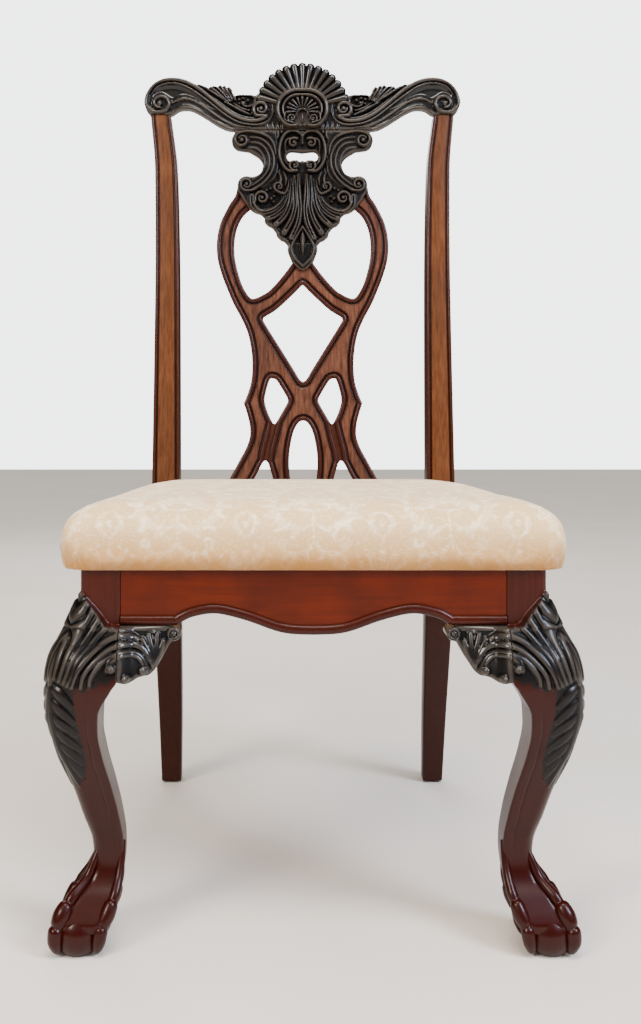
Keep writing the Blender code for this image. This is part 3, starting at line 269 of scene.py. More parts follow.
class Carving:
    """Height over a field of points, built up stroke by stroke, in millimetres."""

    def __init__(self, points, ground):
        self.points = points
        self.height = np.array(np.broadcast_to(ground, len(points)), float)

    def near(self, path, reach):
        low, high = path.min(0) - reach, path.max(0) + reach
        return np.flatnonzero(((self.points > low) & (self.points < high)).all(1))

    def stroke(self, points, width, ends):
        """Points under a stroke of a half-width, their distance from its line as a share of that, and its taper."""
        path = smooth_run(points, 1.2)
        index = self.near(path, width)
        gap, along = distances(self.points[index], path)
        share = along / np.linalg.norm(np.diff(path, axis=0), axis=1).sum()
        rise, fall = [np.sin(np.clip(part / 0.45, 0, 1) * math.pi / 2) for part in (share, 1 - share)]
        taper = (ends[0] + (1 - ends[0]) * rise) * (ends[1] + (1 - ends[1]) * fall)
        u = gap / np.maximum(width * taper, 1e-6)
        return index[u < 1], u[u < 1], taper[u < 1]

    def ridge(self, points, width, foot, crown, ends=(1, 1), crease=0.0):
        """Rounded ridge from its foot to its crown, creased along the middle where asked."""
        index, u, taper = self.stroke(points, width, ends)
        shape = np.sqrt(1 - u ** 2) - crease * np.clip(1 - u / 0.35, 0, 1) ** 2
        self.height[index] = np.maximum(self.height[index], foot + (crown - foot) * (0.35 + 0.65 * taper) * shape)

    def groove(self, points, width, depth, ends=(1, 1)):
        """Rounded groove cut below what is there."""
        index, u, taper = self.stroke(points, width, ends)
        self.height[index] -= depth * taper * (1 - u ** 2) ** 2

    def dome(self, centre, radius, foot, crown):
        index = self.near(np.array([centre]), radius)
        u = np.linalg.norm(self.points[index] - centre, axis=1) / radius
        index, u = index[u < 1], u[u < 1]
        self.height[index] = np.maximum(self.height[index], foot + (crown - foot) * np.sqrt(1 - u ** 2))

    def volute(self, lead, winding, width, foot, crown, ends, eye):
        """Ridge along a line that winds into a volute, round an eye of a radius and crown."""
        self.ridge([*lead, *spiral(*winding)], width, foot, crown, ends)
        self.dome(winding[0], eye[0], foot, eye[1])

    def hollow(self, path, depth, slope):
        """Dished hollow within a closed line, sloping in from its edge."""
        path = smooth_run(path, 1.5, closed=True)
        index = self.near(path, 0.0)
        index = index[inside(self.points[index], [path])]
        gap = distances(self.points[index], path, closed=True)[0]
        self.height[index] -= depth * np.sin(np.clip(gap / slope, 0, 1) * math.pi / 2)


# Meshes

def on_back(points, heights):
    """Places in the leaning back from carving coordinates and heights off its plane."""
    local = np.column_stack([points[:, 0], points[:, 1] / math.cos(BACK_LEAN), heights]) * MM
    matrix = np.array(BACK_FRAME)
    return local @ matrix[:3, :3].T + matrix[:3, 3]


def new_object(name, data):
    made = bpy.data.objects.new(name, data)
    bpy.context.scene.collection.objects.link(made)
    return made


def new_piece(name, mesh, material, nodes, sharp=50.0):
    """Object for a finished mesh, riding on the chair and standing for its nodes."""
    mesh.name = name
    mesh.materials.clear()
    mesh.materials.append(material)
    mesh.shade_smooth()
    mesh.set_sharp_from_angle(angle=math.radians(sharp))
    piece = new_object(name + "_dressed", mesh)
    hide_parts(*nodes)
    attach(piece, "root")
    return piece


def mesh_from(points, faces, turn_out=True):
    mesh = bpy.data.meshes.new("piece")
    mesh.from_pydata([tuple(p) for p in points], [], [tuple(int(i) for i in face) for face in faces])
    if turn_out:
        turn_outward(mesh)
    mesh.update()
    return mesh


def turn_outward(mesh):
    """Closes seams and poles and turns every face outward; a point's stored numbers stay with it."""
    bm = bmesh.new()
    bm.from_mesh(mesh)
    bmesh.ops.remove_doubles(bm, verts=bm.verts, dist=0.000002)
    bmesh.ops.recalc_face_normals(bm, faces=bm.faces)
    bm.to_mesh(mesh)
    bm.free()
    mesh.update()


def evaluated_mesh(holder):
    return bpy.data.meshes.new_from_object(holder.evaluated_get(bpy.context.evaluated_depsgraph_get()))


def node_group(name, inputs, output):
    """Geometry node tree with named inputs, then those inputs inside it."""
    tree = bpy.data.node_groups.new(name, "GeometryNodeTree")
    for label, kind in inputs.items():
        tree.interface.new_socket(label, in_out="INPUT", socket_type="NodeSocket" + kind)
    tree.interface.new_socket(output, in_out="OUTPUT", socket_type="NodeSocketGeometry")
    return tree, add_node(tree, "NodeGroupInput").outputs


def grown_mesh(mesh, tree, values):
    """Plain mesh from a node tree on a mesh, with its inputs set by name."""
    holder = new_object("holder", mesh)
    modifier = holder.modifiers.new("nodes", "NODES")
    modifier.node_group = tree
    for socket in tree.interface.items_tree:
        if socket.name in values:
            modifier[socket.identifier] = values[socket.name]
    made = evaluated_mesh(holder)
    holder.modifiers.remove(modifier)
    bpy.data.objects.remove(holder)
    bpy.data.node_groups.remove(tree)
    return made


def lofted(rings):
    """Points and faces of a skin through rings of equally many points, closed at its ends."""
    count = len(rings[0])
    points = np.vstack(rings)
    faces = []
    for r in range(len(rings) - 1):
        for i in range(count):
            j = (i + 1) % count
            faces.append((r * count + i, r * count + j, (r + 1) * count + j, (r + 1) * count + i))
    last = (len(rings) - 1) * count
    faces.append(tuple(range(count))[::-1])
    faces.append(tuple(last + i for i in range(count)))
    return points, faces


def merged(*skins):
    """One set of points and faces from several."""
    points, faces, base = [], [], 0
    for skin_points, skin_faces in skins:
        points.append(np.array(skin_points))
        faces += [tuple(i + base for i in face) for face in skin_faces]
        base += len(skin_points)
    return np.vstack(points), faces


def triangles(outlines, field):
    """Triangles that fill the outlines, with the field's points among their corners."""
    corners = [Vector(p) for path in outlines for p in path]
    edges, base = [], 0
    for path in outlines:
        edges += [(base + i, base + (i + 1) % len(path)) for i in range(len(path))]
        base += len(path)
    corners += [Vector(p) for p in field]
    found = delaunay_2d_cdt(corners, edges, [], 0, 1e-6)
    points = np.array([tuple(v) for v in found[0]])
    faces = np.array(found[2])
    return points, faces[inside(points[faces].mean(1), outlines)]


def left_of(along):
    """Unit steps to the left of steps along a line."""
    return np.column_stack([-along[:, 1], along[:, 0]]) / np.maximum(np.linalg.norm(along, axis=1), 1e-9)[:, None]


def carved_panel(outlines, field, carve, back, place, ease=0.0):
    """Closed mesh with a carved front, walls along its outlines and a plain back; all in millimetres.

    Where it is eased, the rear part of each wall slants in, as a carver cuts thick wood back behind its outline.
    """
    points, faces = triangles(outlines, field)
    heights = carve(points)
    directed = np.vstack([faces[:, (0, 1)], faces[:, (1, 2)], faces[:, (2, 0)]])
    _, first, counts = np.unique(np.sort(directed, axis=1), axis=0, return_index=True, return_counts=True)
    rim = directed[first[counts == 1]]
    ring = np.unique(rim)
    edge = points[ring]
    at = np.searchsorted(ring, rim)
    levels = [(edge, back)]
    if ease:
        along = np.zeros((len(ring), 2))
        for end in at.T:
            np.add.at(along, end, points[rim[:, 1]] - points[rim[:, 0]])
        levels = [(edge, back * 0.35), (edge + left_of(along) * ease, back)]
    places = [place(points, heights)] + [place(flat, np.full(len(flat), depth)) for flat, depth in levels]
    all_faces = [tuple(face) for face in faces]
    starts = [len(points) + i * len(ring) for i in range(len(levels))]
    for above, (i, j) in zip(rim[:, ::-1].tolist(), at.tolist()):
        for start in starts:
            below = (start + j, start + i)
            all_faces.append((*above, *below[::-1]))
            above = below
    fill, fill_faces = triangles(outlines, np.empty((0, 2)))
    lookup = {(round(x, 4), round(y, 4)): starts[-1] + i for i, (x, y) in enumerate(edge)}
    for face in fill_faces:
        keys = [lookup.get((round(fill[v][0], 4), round(fill[v][1], 4))) for v in face]
        if None not in keys:
            all_faces.append(tuple(reversed(keys)))
    return np.vstack(places), all_faces


def evened(mesh, rounds, held=0.0):
    """Places of a mesh's points after each has moved to the mean of its neighbours, while held ones stay."""
    place = places_of(mesh)
    count = len(place)
    ends = np.empty(len(mesh.edges) * 2, np.int32)
    mesh.edges.foreach_get("vertices", ends)
    a, b = ends[::2], ends[1::2]
    degree = np.maximum(np.bincount(ends, minlength=count), 1)
    for _ in range(rounds):
        soft = np.column_stack([
            (np.bincount(a, column[b], count) + np.bincount(b, column[a], count)) / degree for column in place.T])
        place = place * held + soft * (1 - held)
    return place


def note_hollows(mesh, rounds, depth):
    """Stores relief, which runs from 0 in hollows to 1 on crests and is a half where the surface is even."""
    lift = ((places_of(mesh) - evened(mesh, rounds)) * places_of(mesh, "normal")).sum(1)
    note(mesh, "relief", np.clip(0.5 + lift / (2 * depth), 0, 1))


def note(mesh, name, values):
    """Stores one number for each point of a mesh."""
    attribute = mesh.attributes.get(name) or mesh.attributes.new(name, "FLOAT", "POINT")
    attribute.data.foreach_set("value", np.asarray(values, np.float32))


def numbers_of(mesh, name):
    """What note() stored under a name, point by point."""
    values = np.empty(len(mesh.vertices), np.float32)
    mesh.attributes[name].data.foreach_get("value", values)
    return values


def places_of(mesh, kind="co"):
    """Where each point of a mesh is, or its normal."""
    place = np.empty(len(mesh.vertices) * 3)
    mesh.vertices.foreach_get(kind, place)
    return place.reshape(-1, 3)


def move_points(mesh, place):
    mesh.vertices.foreach_set("co", place.ravel())
    mesh.update()


def step_up(low, high, values):
    """Smooth step from 0 at low to 1 at high."""
    t = np.clip((np.asarray(values, float) - low) / (high - low), 0, 1)
    return t * t * (3 - 2 * t)


def table_column(table, shares):
    """Columns of a table at many places in its first column, on a cubic that never overshoots."""
    table = np.array(table, float)
    x = table[:, 0]
    shares = np.clip(shares, x[0], x[-1])
    gaps = np.diff(x)[:, None]
    slopes = np.diff(table[:, 1:], axis=0) / gaps
    middle = slopes[:-1] * slopes[1:] > 0
    safe = np.where(middle, slopes[:-1], 1.0), np.where(middle, slopes[1:], 1.0)
    tangents = np.vstack([slopes[:1], np.where(middle, 2 / (1 / safe[0] + 1 / safe[1]), 0.0), slopes[-1:]])
    i = np.clip(np.searchsorted(x, shares, side="right") - 1, 0, len(x) - 2)
    t = ((shares - x[i]) / np.diff(x)[i])[:, None]
    a, b = table[i, 1:], table[i + 1, 1:]
    bend = gaps[i] * (tangents[i] * t * (1 - t) ** 2 - tangents[i + 1] * (1 - t) * t ** 2)
    return a * (1 + 2 * t) * (1 - t) ** 2 + b * (3 - 2 * t) * t ** 2 + bend


def track(table, shares):
    """A table's second column at many places in its first."""
    return table_column(table, shares)[:, 0]


def edge_mould(gap):
    """Bead and groove along an edge, by distance in from it, in millimetres."""
    size = sizes()
    bead, rise = size.bead / MM, size.bead_rise / MM
    groove, depth = size.groove / MM, size.groove_depth / MM
    u = np.clip(np.abs(gap - bead / 2) / (bead / 2), 0, 1)
    bead_part = rise * (np.sqrt(1 - u ** 2) - 1)
    v = np.clip(np.abs(gap - bead - groove / 2) / (groove / 2), 0, 1)
    groove_part = -depth * np.sqrt(1 - v ** 2) - rise * np.clip(1 - (gap - bead) / groove, 0, 1) * v ** 4
    return np.where(gap < bead, bead_part, np.where(gap < bead + groove, groove_part, 0.0))


def mould_rows(path, outlines, tree):
    """Points in rows that follow an outline inward, at the places where its moulding turns."""
    size = sizes()
    bead, groove = size.bead / MM, size.groove / MM
    rows = [bead * s for s in (0.1, 0.28, 0.5, 0.72, 0.9)] + [bead + groove * s for s in (0.0, 0.22, 0.5, 0.78, 1.0)]
    rows += [bead + groove + 1.2]
    left = left_of(np.roll(path, -1, axis=0) - np.roll(path, 1, axis=0))
    found = []
    for reach in rows:
        for way in (1, -1):
            row = path + left * reach * way
            row = row[inside(row, outlines)]
            found.append(row[edge_gap(row, tree) > reach * 0.97] if len(row) else row)
    return np.vstack(found)


# Finishes

GRAIN_SIZE, PORE_SIZE = (0.0032, 0.085), (0.0011, 0.011)  # across and along the wood


def feed(tree, made, inputs):
    """Gives sockets their values or what feeds them; a node stands for its first live output."""
    for key, value in inputs.items():
        if isinstance(value, bpy.types.Node):
            value = next(socket for socket in value.outputs if socket.enabled)
        if isinstance(value, bpy.types.NodeSocket):
            tree.links.new(value, made.inputs[key])
        else:
            made.inputs[key].default_value = value


def add_node(tree, kind, inputs=None, **settings):
    """Adds a node, a shader's where its kind is short: settings are its own fields, inputs go to its sockets."""
    made = tree.nodes.new(kind if "Node" in kind else "ShaderNode" + kind)
    for key, value in settings.items():
        setattr(made, key, value)
    feed(tree, made, inputs or {})
    return made


def new_finish(name, **uniform):
    """Material with uniform values on its shader, then what adds nodes to its tree and what feeds the shader."""
    material = bpy.data.materials.new(name)
    material.use_nodes = True
    tree = material.node_tree
    shader = tree.nodes["Principled BSDF"]
    feed(tree, shader, {socket.replace("_", " "): value for socket, value in uniform.items()})
    return material, partial(add_node, tree), partial(feed, tree, shader)


def wood_finish(name, pale, dark, along, streak, gloss, glazed, cloud):
    """Mahogany rubbed with a satin lacquer: long darker grain, short open pores, slow change of tone.

    Where it is glazed, the carving's hollows hold a dark glaze and its crests are rubbed back to brown.
    """
    material, add, give = new_finish(name, IOR=1.5, Specular_IOR_Level=0.16, Coat_Weight=gloss, Coat_Roughness=0.1)
    space = add("TexCoord").outputs["Object"]
    grain_scale, pore_scale = [1 / GRAIN_SIZE[0]] * 3, [1 / PORE_SIZE[0]] * 3
    grain_scale[along], pore_scale[along] = 1 / GRAIN_SIZE[1], 1 / PORE_SIZE[1]
    warp = add("TexNoise", {"Vector": space, "Scale": 1 / 0.16, "Detail": 2.0}).outputs["Color"]
    bent = add("VectorMath", {0: warp, 1: (0.004, 0.004, 0.004)}, operation="MULTIPLY")
    bent_space = add("VectorMath", {0: space, 1: bent}, operation="ADD")
    grain_map = add("Mapping", {"Vector": bent_space, "Scale": grain_scale})
    grain = add("TexNoise", {"Vector": grain_map, "Scale": 1.0, "Detail": 5.0, "Roughness": 0.6})
    grain_part = add("MapRange", {"Value": grain, "From Min": 0.34, "From Max": 0.7, "To Max": streak})
    pore_map = add("Mapping", {"Vector": space, "Scale": pore_scale})
    pore = add("TexNoise", {"Vector": pore_map, "Scale": 1.0, "Detail": 2.0})
    pore_part = add("MapRange", {"Value": pore, "From Min": 0.6, "From Max": 0.74, "To Max": 0.6 * streak})
    slow = add("TexNoise", {"Vector": space, "Scale": 1 / cloud, "Detail": 3.0})
    slow_part = add("MapRange", {"Value": slow, "From Min": 0.24, "From Max": 0.78}, interpolation_type="SMOOTHSTEP")
    body = add("Mix", {0: grain_part, 6: pale, 7: dark}, data_type="RGBA")
    tone_share = add("Math", {0: slow_part, 1: 0.42}, operation="MULTIPLY")
    toned = add("Mix", {0: tone_share, 6: body, 7: dark}, data_type="RGBA", blend_type="MULTIPLY")
    hue = add("Mix", {0: pore_part, 6: toned, 7: dark}, data_type="RGBA")
    # Deep share: painted shade under the seat on the rear posts, darker wood towards the bottom of the front legs, and
    # darker mouldings and sunk lane
    low_down = add("Attribute", attribute_name="deep").outputs["Fac"]
    skin = add("Mix", {0: low_down, 6: hue, 7: tint("deep")}, data_type="RGBA")
    if glazed:
        relief = add("Attribute", attribute_name="relief").outputs["Fac"]
        ragged = add("Math", {0: grain, 1: 0.16, 2: -0.08}, operation="MULTIPLY_ADD")
        worn = add("Math", {0: relief, 1: ragged}, operation="ADD")
        low = add("MapRange", {"Value": worn, "From Min": 0.46, "From Max": 0.2}, interpolation_type="SMOOTHSTEP")
        high = add("MapRange", {"Value": worn, "From Min": 0.56, "From Max": 0.92, "To Max": 0.9},
            interpolation_type="SMOOTHSTEP")
        rubbed = add("Mix", {0: high, 6: tint("carved"), 7: tint("rubbed")}, data_type="RGBA")
        share = add("Math", {0: grain_part, 1: 0.35}, operation="MULTIPLY")
        streaked = add("Mix", {0: share, 6: rubbed, 7: tint("glaze")}, data_type="RGBA")
        dark_share = add("Attribute", attribute_name="dark").outputs["Fac"]
        over = add("Mix", {0: dark_share, 6: skin, 7: streaked}, data_type="RGBA")
        skin = add("Mix", {0: low, 6: over, 7: tint("glaze")}, data_type="RGBA")
    rough = add("MapRange", {"Value": slow, "From Min": 0.2, "From Max": 0.8, "To Min": 0.29, "To Max": 0.4},
        interpolation_type="SMOOTHSTEP")
    bump = add("Bump", {"Strength": 0.25, "Distance": 0.00025, "Height": pore})
    give({"Base Color": skin, "Roughness": rough, "Normal": bump})
    return material


def damask_finish():
    """Cotton damask, woven: a satin figure on a matt ground of nearly its own colour, with threads both ways.

    The eye gets a soft tone-on-tone figure that turns lighter or darker with the light, and a fine tooth of threads.
    """
    material, add, give = new_finish("cotton_damask", IOR=1.45, Sheen_Weight=0.35, Sheen_Roughness=0.45)
    figure = add("Attribute", attribute_name="figure").outputs["Fac"]
    # Share of painted warm bounce light, strongest low on the cushion's front
    low_down = add("Attribute", attribute_name="toned").outputs["Fac"]
    cloth = add("UVMap", uv_map="cloth").outputs[0]
    space = add("TexCoord").outputs["Object"]
    thread = 1 / sizes().thread
    threads = add("Mapping", {"Vector": cloth, "Scale": (thread, thread, 1)})
    split = add("SeparateXYZ", {0: threads}).outputs
    turns = [add("Math", {0: way, 1: 2 * math.pi}, operation="MULTIPLY") for way in split[:2]]
    warp, weft = [add("Math", {0: turn}, operation="SINE") for turn in turns]
    weave = add("Mix", {0: figure, 2: weft, 3: warp}, data_type="FLOAT")
    cross = add("Math", {0: warp, 1: weft}, operation="MULTIPLY")
    tooth = add("Math", {0: weave, 1: cross}, operation="ADD")
    slub = add("TexNoise", {"Vector": threads, "Scale": 0.35, "Detail": 3.0})
    slub_part = add("MapRange", {"Value": slub, "From Min": 0.3, "From Max": 0.7, "To Min": -0.3, "To Max": 0.3})
    wander = add("TexNoise", {"Vector": cloth, "Scale": 1 / 0.034, "Detail": 1.0}).outputs["Color"]
    swirl = add("VectorMath", {0: wander, 1: (0.04, 0.04, 0.0), 2: cloth}, operation="MULTIPLY_ADD")
    curl = add("TexNoise", {"Vector": swirl, "Scale": 1 / 0.03, "Detail": 1.0})
    curl_turn = add("Math", {0: curl, 1: 34.0}, operation="MULTIPLY")
    curl_wave = add("Math", {0: curl_turn}, operation="SINE")
    vein = add("MapRange", {"Value": curl_wave, "From Min": 0.35, "From Max": 0.95}, interpolation_type="SMOOTHSTEP")
    leaf = add("MapRange", {"Value": figure, "To Min": 0.22, "To Max": 0.62})
    veined = add("Math", {0: vein, 1: leaf, 2: slub_part}, operation="MULTIPLY_ADD")
    soft = add("Math", {0: figure, 1: 0.42, 2: veined}, operation="MULTIPLY_ADD")
    mixed = add("Math", {0: soft, 1: 0.0}, operation="ADD", use_clamp=True)
    ground = add("Mix", {0: mixed, 6: tint("cream"), 7: tint("figure")}, data_type="RGBA")
    slow = add("TexNoise", {"Vector": space, "Scale": 1 / 0.09, "Detail": 2.0})
    slow_part = add("MapRange", {"Value": slow, "From Min": 0.3, "From Max": 0.7, "To Max": 0.14})
    # Golden tone: painted warm bounce light low down, plus a slow random change of tone all over
    bounce_and_tone_share = add("Math", {0: low_down, 1: 0.8, 2: slow_part}, operation="MULTIPLY_ADD")
    gold_bounce_and_tone = add("Mix", {0: bounce_and_tone_share, 6: ground, 7: tint("gold_bounce_and_tone")}, data_type="RGBA")
    satin = add("Math", {0: figure, 1: 0.55}, operation="MULTIPLY")
    rough = add("MapRange", {"Value": satin, "To Min": 0.86, "To Max": 0.62})
    raised = add("Math", {0: tooth, 1: 0.16, 2: soft}, operation="MULTIPLY_ADD")
    bump = add("Bump", {"Strength": 0.45, "Distance": 0.00045, "Height": raised})
    give({"Base Color": gold_bounce_and_tone, "Roughness": rough, "Normal": bump})
    return material


def plain_finish(name, hue, shade, grain, roughness, metallic=0.0, bump=0.0002):
    """Hidden or small pieces: a mottled body colour with a surface grain of a real size along each axis."""
    material, add, give = new_finish(name, Metallic=metallic)
    space = add("TexCoord").outputs["Object"]
    mapped = add("Mapping", {"Vector": space, "Scale": [1 / size for size in grain]})
    speck = add("TexNoise", {"Vector": mapped, "Scale": 1.0, "Detail": 4.0})
    part = add("MapRange", {"Value": speck, "From Min": 0.35, "From Max": 0.68})
    body = add("Mix", {0: part, 6: tint(hue), 7: linear(shade)}, data_type="RGBA")
    rough = add("MapRange", {"Value": speck, "From Min": 0.3, "From Max": 0.7, "To Min": roughness - 0.06,
        "To Max": roughness + 0.06})
    lift = add("Bump", {"Strength": 0.3, "Distance": bump, "Height": speck})
    give({"Base Color": body, "Roughness": rough, "Normal": lift})
    return material


WOODS = {
    # colours, run of the grain, share of grain, gloss, glazed hollows, size of the clouds
    "carved_mahogany": ("mahogany", 0, 0.8, 0.5, True, 0.1),
    "strap_mahogany": ("mahogany", 2, 0.8, 0.08, True, 0.1),
    "post_mahogany": ("brown_mahogany", 2, 0.7, 0.1, True, 0.16),
    "leg_mahogany": ("dark_mahogany", 2, 0.6, 0.14, True, 0.08),
    "rail_mahogany": ("mahogany", 0, 0.8, 0.08, False, 0.1),
    "side_rail_mahogany": ("dark_mahogany", 1, 0.8, 0.1, False, 0.1),
    "apron_mahogany": ("red_mahogany", 0, 0.45, 0.06, False, 0.06),
}
PLAIN = {
    # colour, mottling, grain's size along each axis, roughness, then metallic and depth of the grain where they differ
    "beech_block": ("hardwood", "#8E6236", (0.02, 0.002, 0.004), 0.62),
    "poplar_plywood": ("plywood", "#8C6A40", (0.03, 0.03, 0.0016), 0.7),
    "black_cambric": ("cambric", "#2B2B2E", (0.0009, 0.006, 0.01), 0.95),
    "zinc_plated_steel": ("steel", "#8D8F86", (0.0008, 0.0008, 0.0008), 0.34, 1.0, 0.00005),
    "dark_nylon": ("nylon", "#36302A", (0.0012, 0.0012, 0.0012), 0.5),
    "pale_floor": ("floor", "#D2C8BC", (0.5, 0.5, 0.5), 0.7),
}


def finish(name):
    """The named finish, made the first time it is asked for."""
    made = bpy.data.materials.get(name)
    if made:
        return made
    if name == "cotton_damask":
        return damask_finish()
    if name in WOODS:
        hue, *rest = WOODS[name]
        return wood_finish(name, tint(hue), tint(hue + "_grain"), *rest)
    return plain_finish(name, *PLAIN[name])


# Crest rail

POST_JOINT, SPLAT_JOINT, JOINT_GAP = 613, 589, 0.3
CREST_FACE, CREST_BACK = 4, -24


def drawn(origin, scale, *points):
    """Places in millimetres from the carver's drawing, which runs down and toward the middle from a corner."""
    return [(origin[0] - scale * x, origin[1] - scale * y) for x, y in points]


on_crest = partial(drawn, (265.7, 714.9), 0.1869)
on_head = partial(drawn, (111.5, 707.2), 0.2115)


def crest_outline(step):
    top = [(0, 676), (30, 672), (52, 659), (69, 648), (72.5, 645.6), (79, 644.6), (92, 644.9), (105, 645.2)]
    leaf = [(105, 645.2), (107.2, 648), (108.6, 654.6), (112.6, 658.6), (116, 656.8), (120.2, 660), (123.4, 658.6),
        (126.6, 660.6), (130.4, 657.6), (134, 658.6), (138.4, 659.4), (143, 657.4), (150, 659), (159, 661.6)]
    ear = [(159, 661.6), (167, 662.2), (176, 667.2), (187.2, 670.6), (200.3, 671.5), (215.2, 669.1), (228.3, 661.6),
        (237.7, 650.4), (242.9, 636.4), (240.5, 623.3), (232.9, POST_JOINT + JOINT_GAP)]
    under = [(202.1, POST_JOINT + JOINT_GAP), (197.5, 615.2), (190.9, 620), (183.5, 622.2), (172.3, 622), (161, 617.3),
        (146.1, 608.2), (131.1, 598.4), (118, 591.6), (108, SPLAT_JOINT + JOINT_GAP)]
    return mirrored(outline(step, top, leaf, ear, [ear[-1], under[0]], under,
        [under[-1], (0, SPLAT_JOINT + JOINT_GAP)]))


def crest_carving(points, edge):
    """Scrolled crest: four running ribs, wound ears, inner volutes, a dished hollow and leaf sprigs."""
    work = Carving(folded(points), CREST_FACE)
    work.hollow(on_crest((190, 395), (215, 335), (290, 300), (390, 298), (480, 332), (570, 392), (660, 455), (730, 505),
        (660, 480), (560, 425), (490, 398), (420, 398), (350, 425), (250, 370)), 3.6, 7.5)
    work.hollow(on_crest((545, 270), (620, 335), (720, 415), (830, 500), (930, 550), (1030, 560), (1120, 500),
        (1120, 340), (860, 340), (850, 280)), 4.4, 4)
    low, foot = 0.4, 1.4
    # Leaf sprig on the top edge and the small flowered scroll beside the shell
    sprig = [((566, 286), (640, 325), (720, 378), (805, 432)), ((662, 303), (712, 345), (768, 396), (815, 436)),
        ((706, 298), (744, 335), (788, 386), (828, 432)), ((748, 293), (774, 335), (804, 382), (838, 426)),
        ((785, 303), (806, 342), (826, 378), (848, 420)), ((824, 318), (842, 350), (852, 378), (862, 412))]
    for i, line in enumerate(sprig):
        work.ridge(on_crest(*line), 2.5, low, 6.8 - 0.2 * i, ends=(0.75, 0.45), crease=0.16)
    for tip in ((690, 306), (738, 300), (778, 305), (815, 316), (836, 346)):
        work.dome(on_crest(tip)[0], 2.2, low, 6.6)
    work.ridge(on_crest((868, 418), (872, 390), (905, 376), (965, 372), (1015, 388), (1036, 424), (1018, 458),
        (975, 474), (935, 462), (925, 435)), 2.2, low, 6.4, ends=(0.5, 0.8))
    for ball, size in (((902, 412), 2.6), ((942, 442), 2.8), ((935, 402), 2.3), ((975, 420), 2.5), ((905, 448), 2.2)):
        work.dome(on_crest(ball)[0], size, low, 5.8)
    work.ridge(on_crest((780, 430), (850, 468), (930, 512), (1010, 545)), 2.3, low, 5.2, ends=(0.4, 0.3), crease=0.2)
    work.ridge(on_crest((850, 440), (900, 475), (960, 500), (1020, 505)), 1.9, low, 5, ends=(0.4, 0.3))
    work.ridge(on_crest((1010, 378), (1040, 400), (1050, 440)), 2, low, 5.6, ends=(0.6, 0.5))
    # Running ribs, lowest first
    work.ridge(on_crest((338, 548), (385, 508), (440, 485), (500, 485), (560, 508), (640, 556), (720, 610), (800, 652),
        (880, 682)), 2.6, foot, 6.2, ends=(1, 0.7))
    work.groove(on_crest((365, 500), (430, 452), (500, 452), (570, 482), (650, 534), (730, 588), (820, 634)), 1.6, 1.2,
        ends=(0.5, 0.4))
    work.ridge(on_crest((352, 446), (420, 414), (490, 414), (560, 444), (640, 499), (720, 558), (800, 608), (890, 640),
        (990, 653)), 2.3, foot, 7, ends=(1, 0.75))
    work.ridge(on_crest((182, 372), (225, 312), (300, 281), (390, 281), (480, 314), (560, 367), (640, 427), (720, 492),
        (810, 561), (900, 609), (1000, 629), (1085, 624), (1150, 588), (1180, 525), (1172, 450)), 2.4, foot, 7.4,
        ends=(0.7, 0.8))
    rim = on_crest((135, 430), (160, 345), (215, 280), (300, 250), (400, 252), (490, 281), (580, 334), (660, 400),
        (740, 469), (830, 538), (920, 582), (1000, 599), (1070, 592), (1120, 562))
    eye = (219.4, 630.6)
    ear = polar(eye, (6.2, 7, 8.2, 9.4, 11, 13, 14.8, 14.4, 13.8, 16.2, 19.6),
        (-450, -410, -360, -315, -270, -225, -180, -135, -90, -52, -14))
    work.ridge([*ear, *rim], 4.1, foot, 9.6, ends=(0.8, 1))
    work.dome(eye, 5.2, foot, 9.8)
    work.volute(rim[-4:], ((63.4, 622.4), 12.6, -60, 420, 5), 3.9, foot, 9.4, (1, 0.8), (4.8, 9.6))
    # Husks over the joint with the splat
    for x in (36, 44, 52, 29):
        work.ridge([(x, 590.5), (x + 1.5, 596), (x + 2, 601)], 2.6, foot, 6.6, ends=(1, 0.3))
    return work.height - rounded_off(edge, 2.4, 2.4)


def panel_field(outlines, tree, step, keep=None, clear=0.6):
    """Points within outlines, clear of their edges by a share of the step."""
    field = hex_field(outlines[0].min(0), outlines[0].max(0), step)
    if keep:
        field = field[keep(field)]
    field = field[inside(field, outlines)]
    return field[edge_gap(field, tree) > step * clear]


def carved_mesh(outlines, step, carve, back, ease=0):
    """Mesh of a carved panel in the back; the carving gets points and their distance from the outline."""
    tree = edge_tree(outlines)
    field = panel_field(outlines, tree, step)
    skin = carved_panel(outlines, field, lambda p: carve(p, edge_gap(p, tree)), back, on_back, ease)
    return mesh_from(*skin, turn_out=False)


def carved_piece(name, mesh, sharp=50.0):
    """Piece in the dark carved finish all over."""
    note(mesh, "dark", np.ones(len(mesh.vertices)))
    new_piece(name, mesh, finish("carved_mahogany"), [name], sharp)


class CHAIR_OT_crest_rail(bpy.types.Operator):
    """Carve the crest rail with its ears, ribs and leaf sprigs"""
    bl_idname = "chair.crest_rail"
    bl_label = "Crest Rail"

    def execute(self, context):
        step = sizes().carving_step / MM
        mesh = carved_mesh([crest_outline(step)], step, crest_carving, CREST_BACK, 7)
        note_hollows(mesh, 22, 0.0011)
        carved_piece("crest_rail", mesh)
        return {"FINISHED"}


# Shell

SHELL_CENTRE = 622.6
FAN_REACH, FAN_START, FAN_SWEEP = 73, 28, 76
SMALL_CENTRE = 618
SMALL_REACH, SMALL_START, SMALL_SWEEP = 24.5, 7.5, 98
SMALL_STRETCH = (1.06, 0.92)


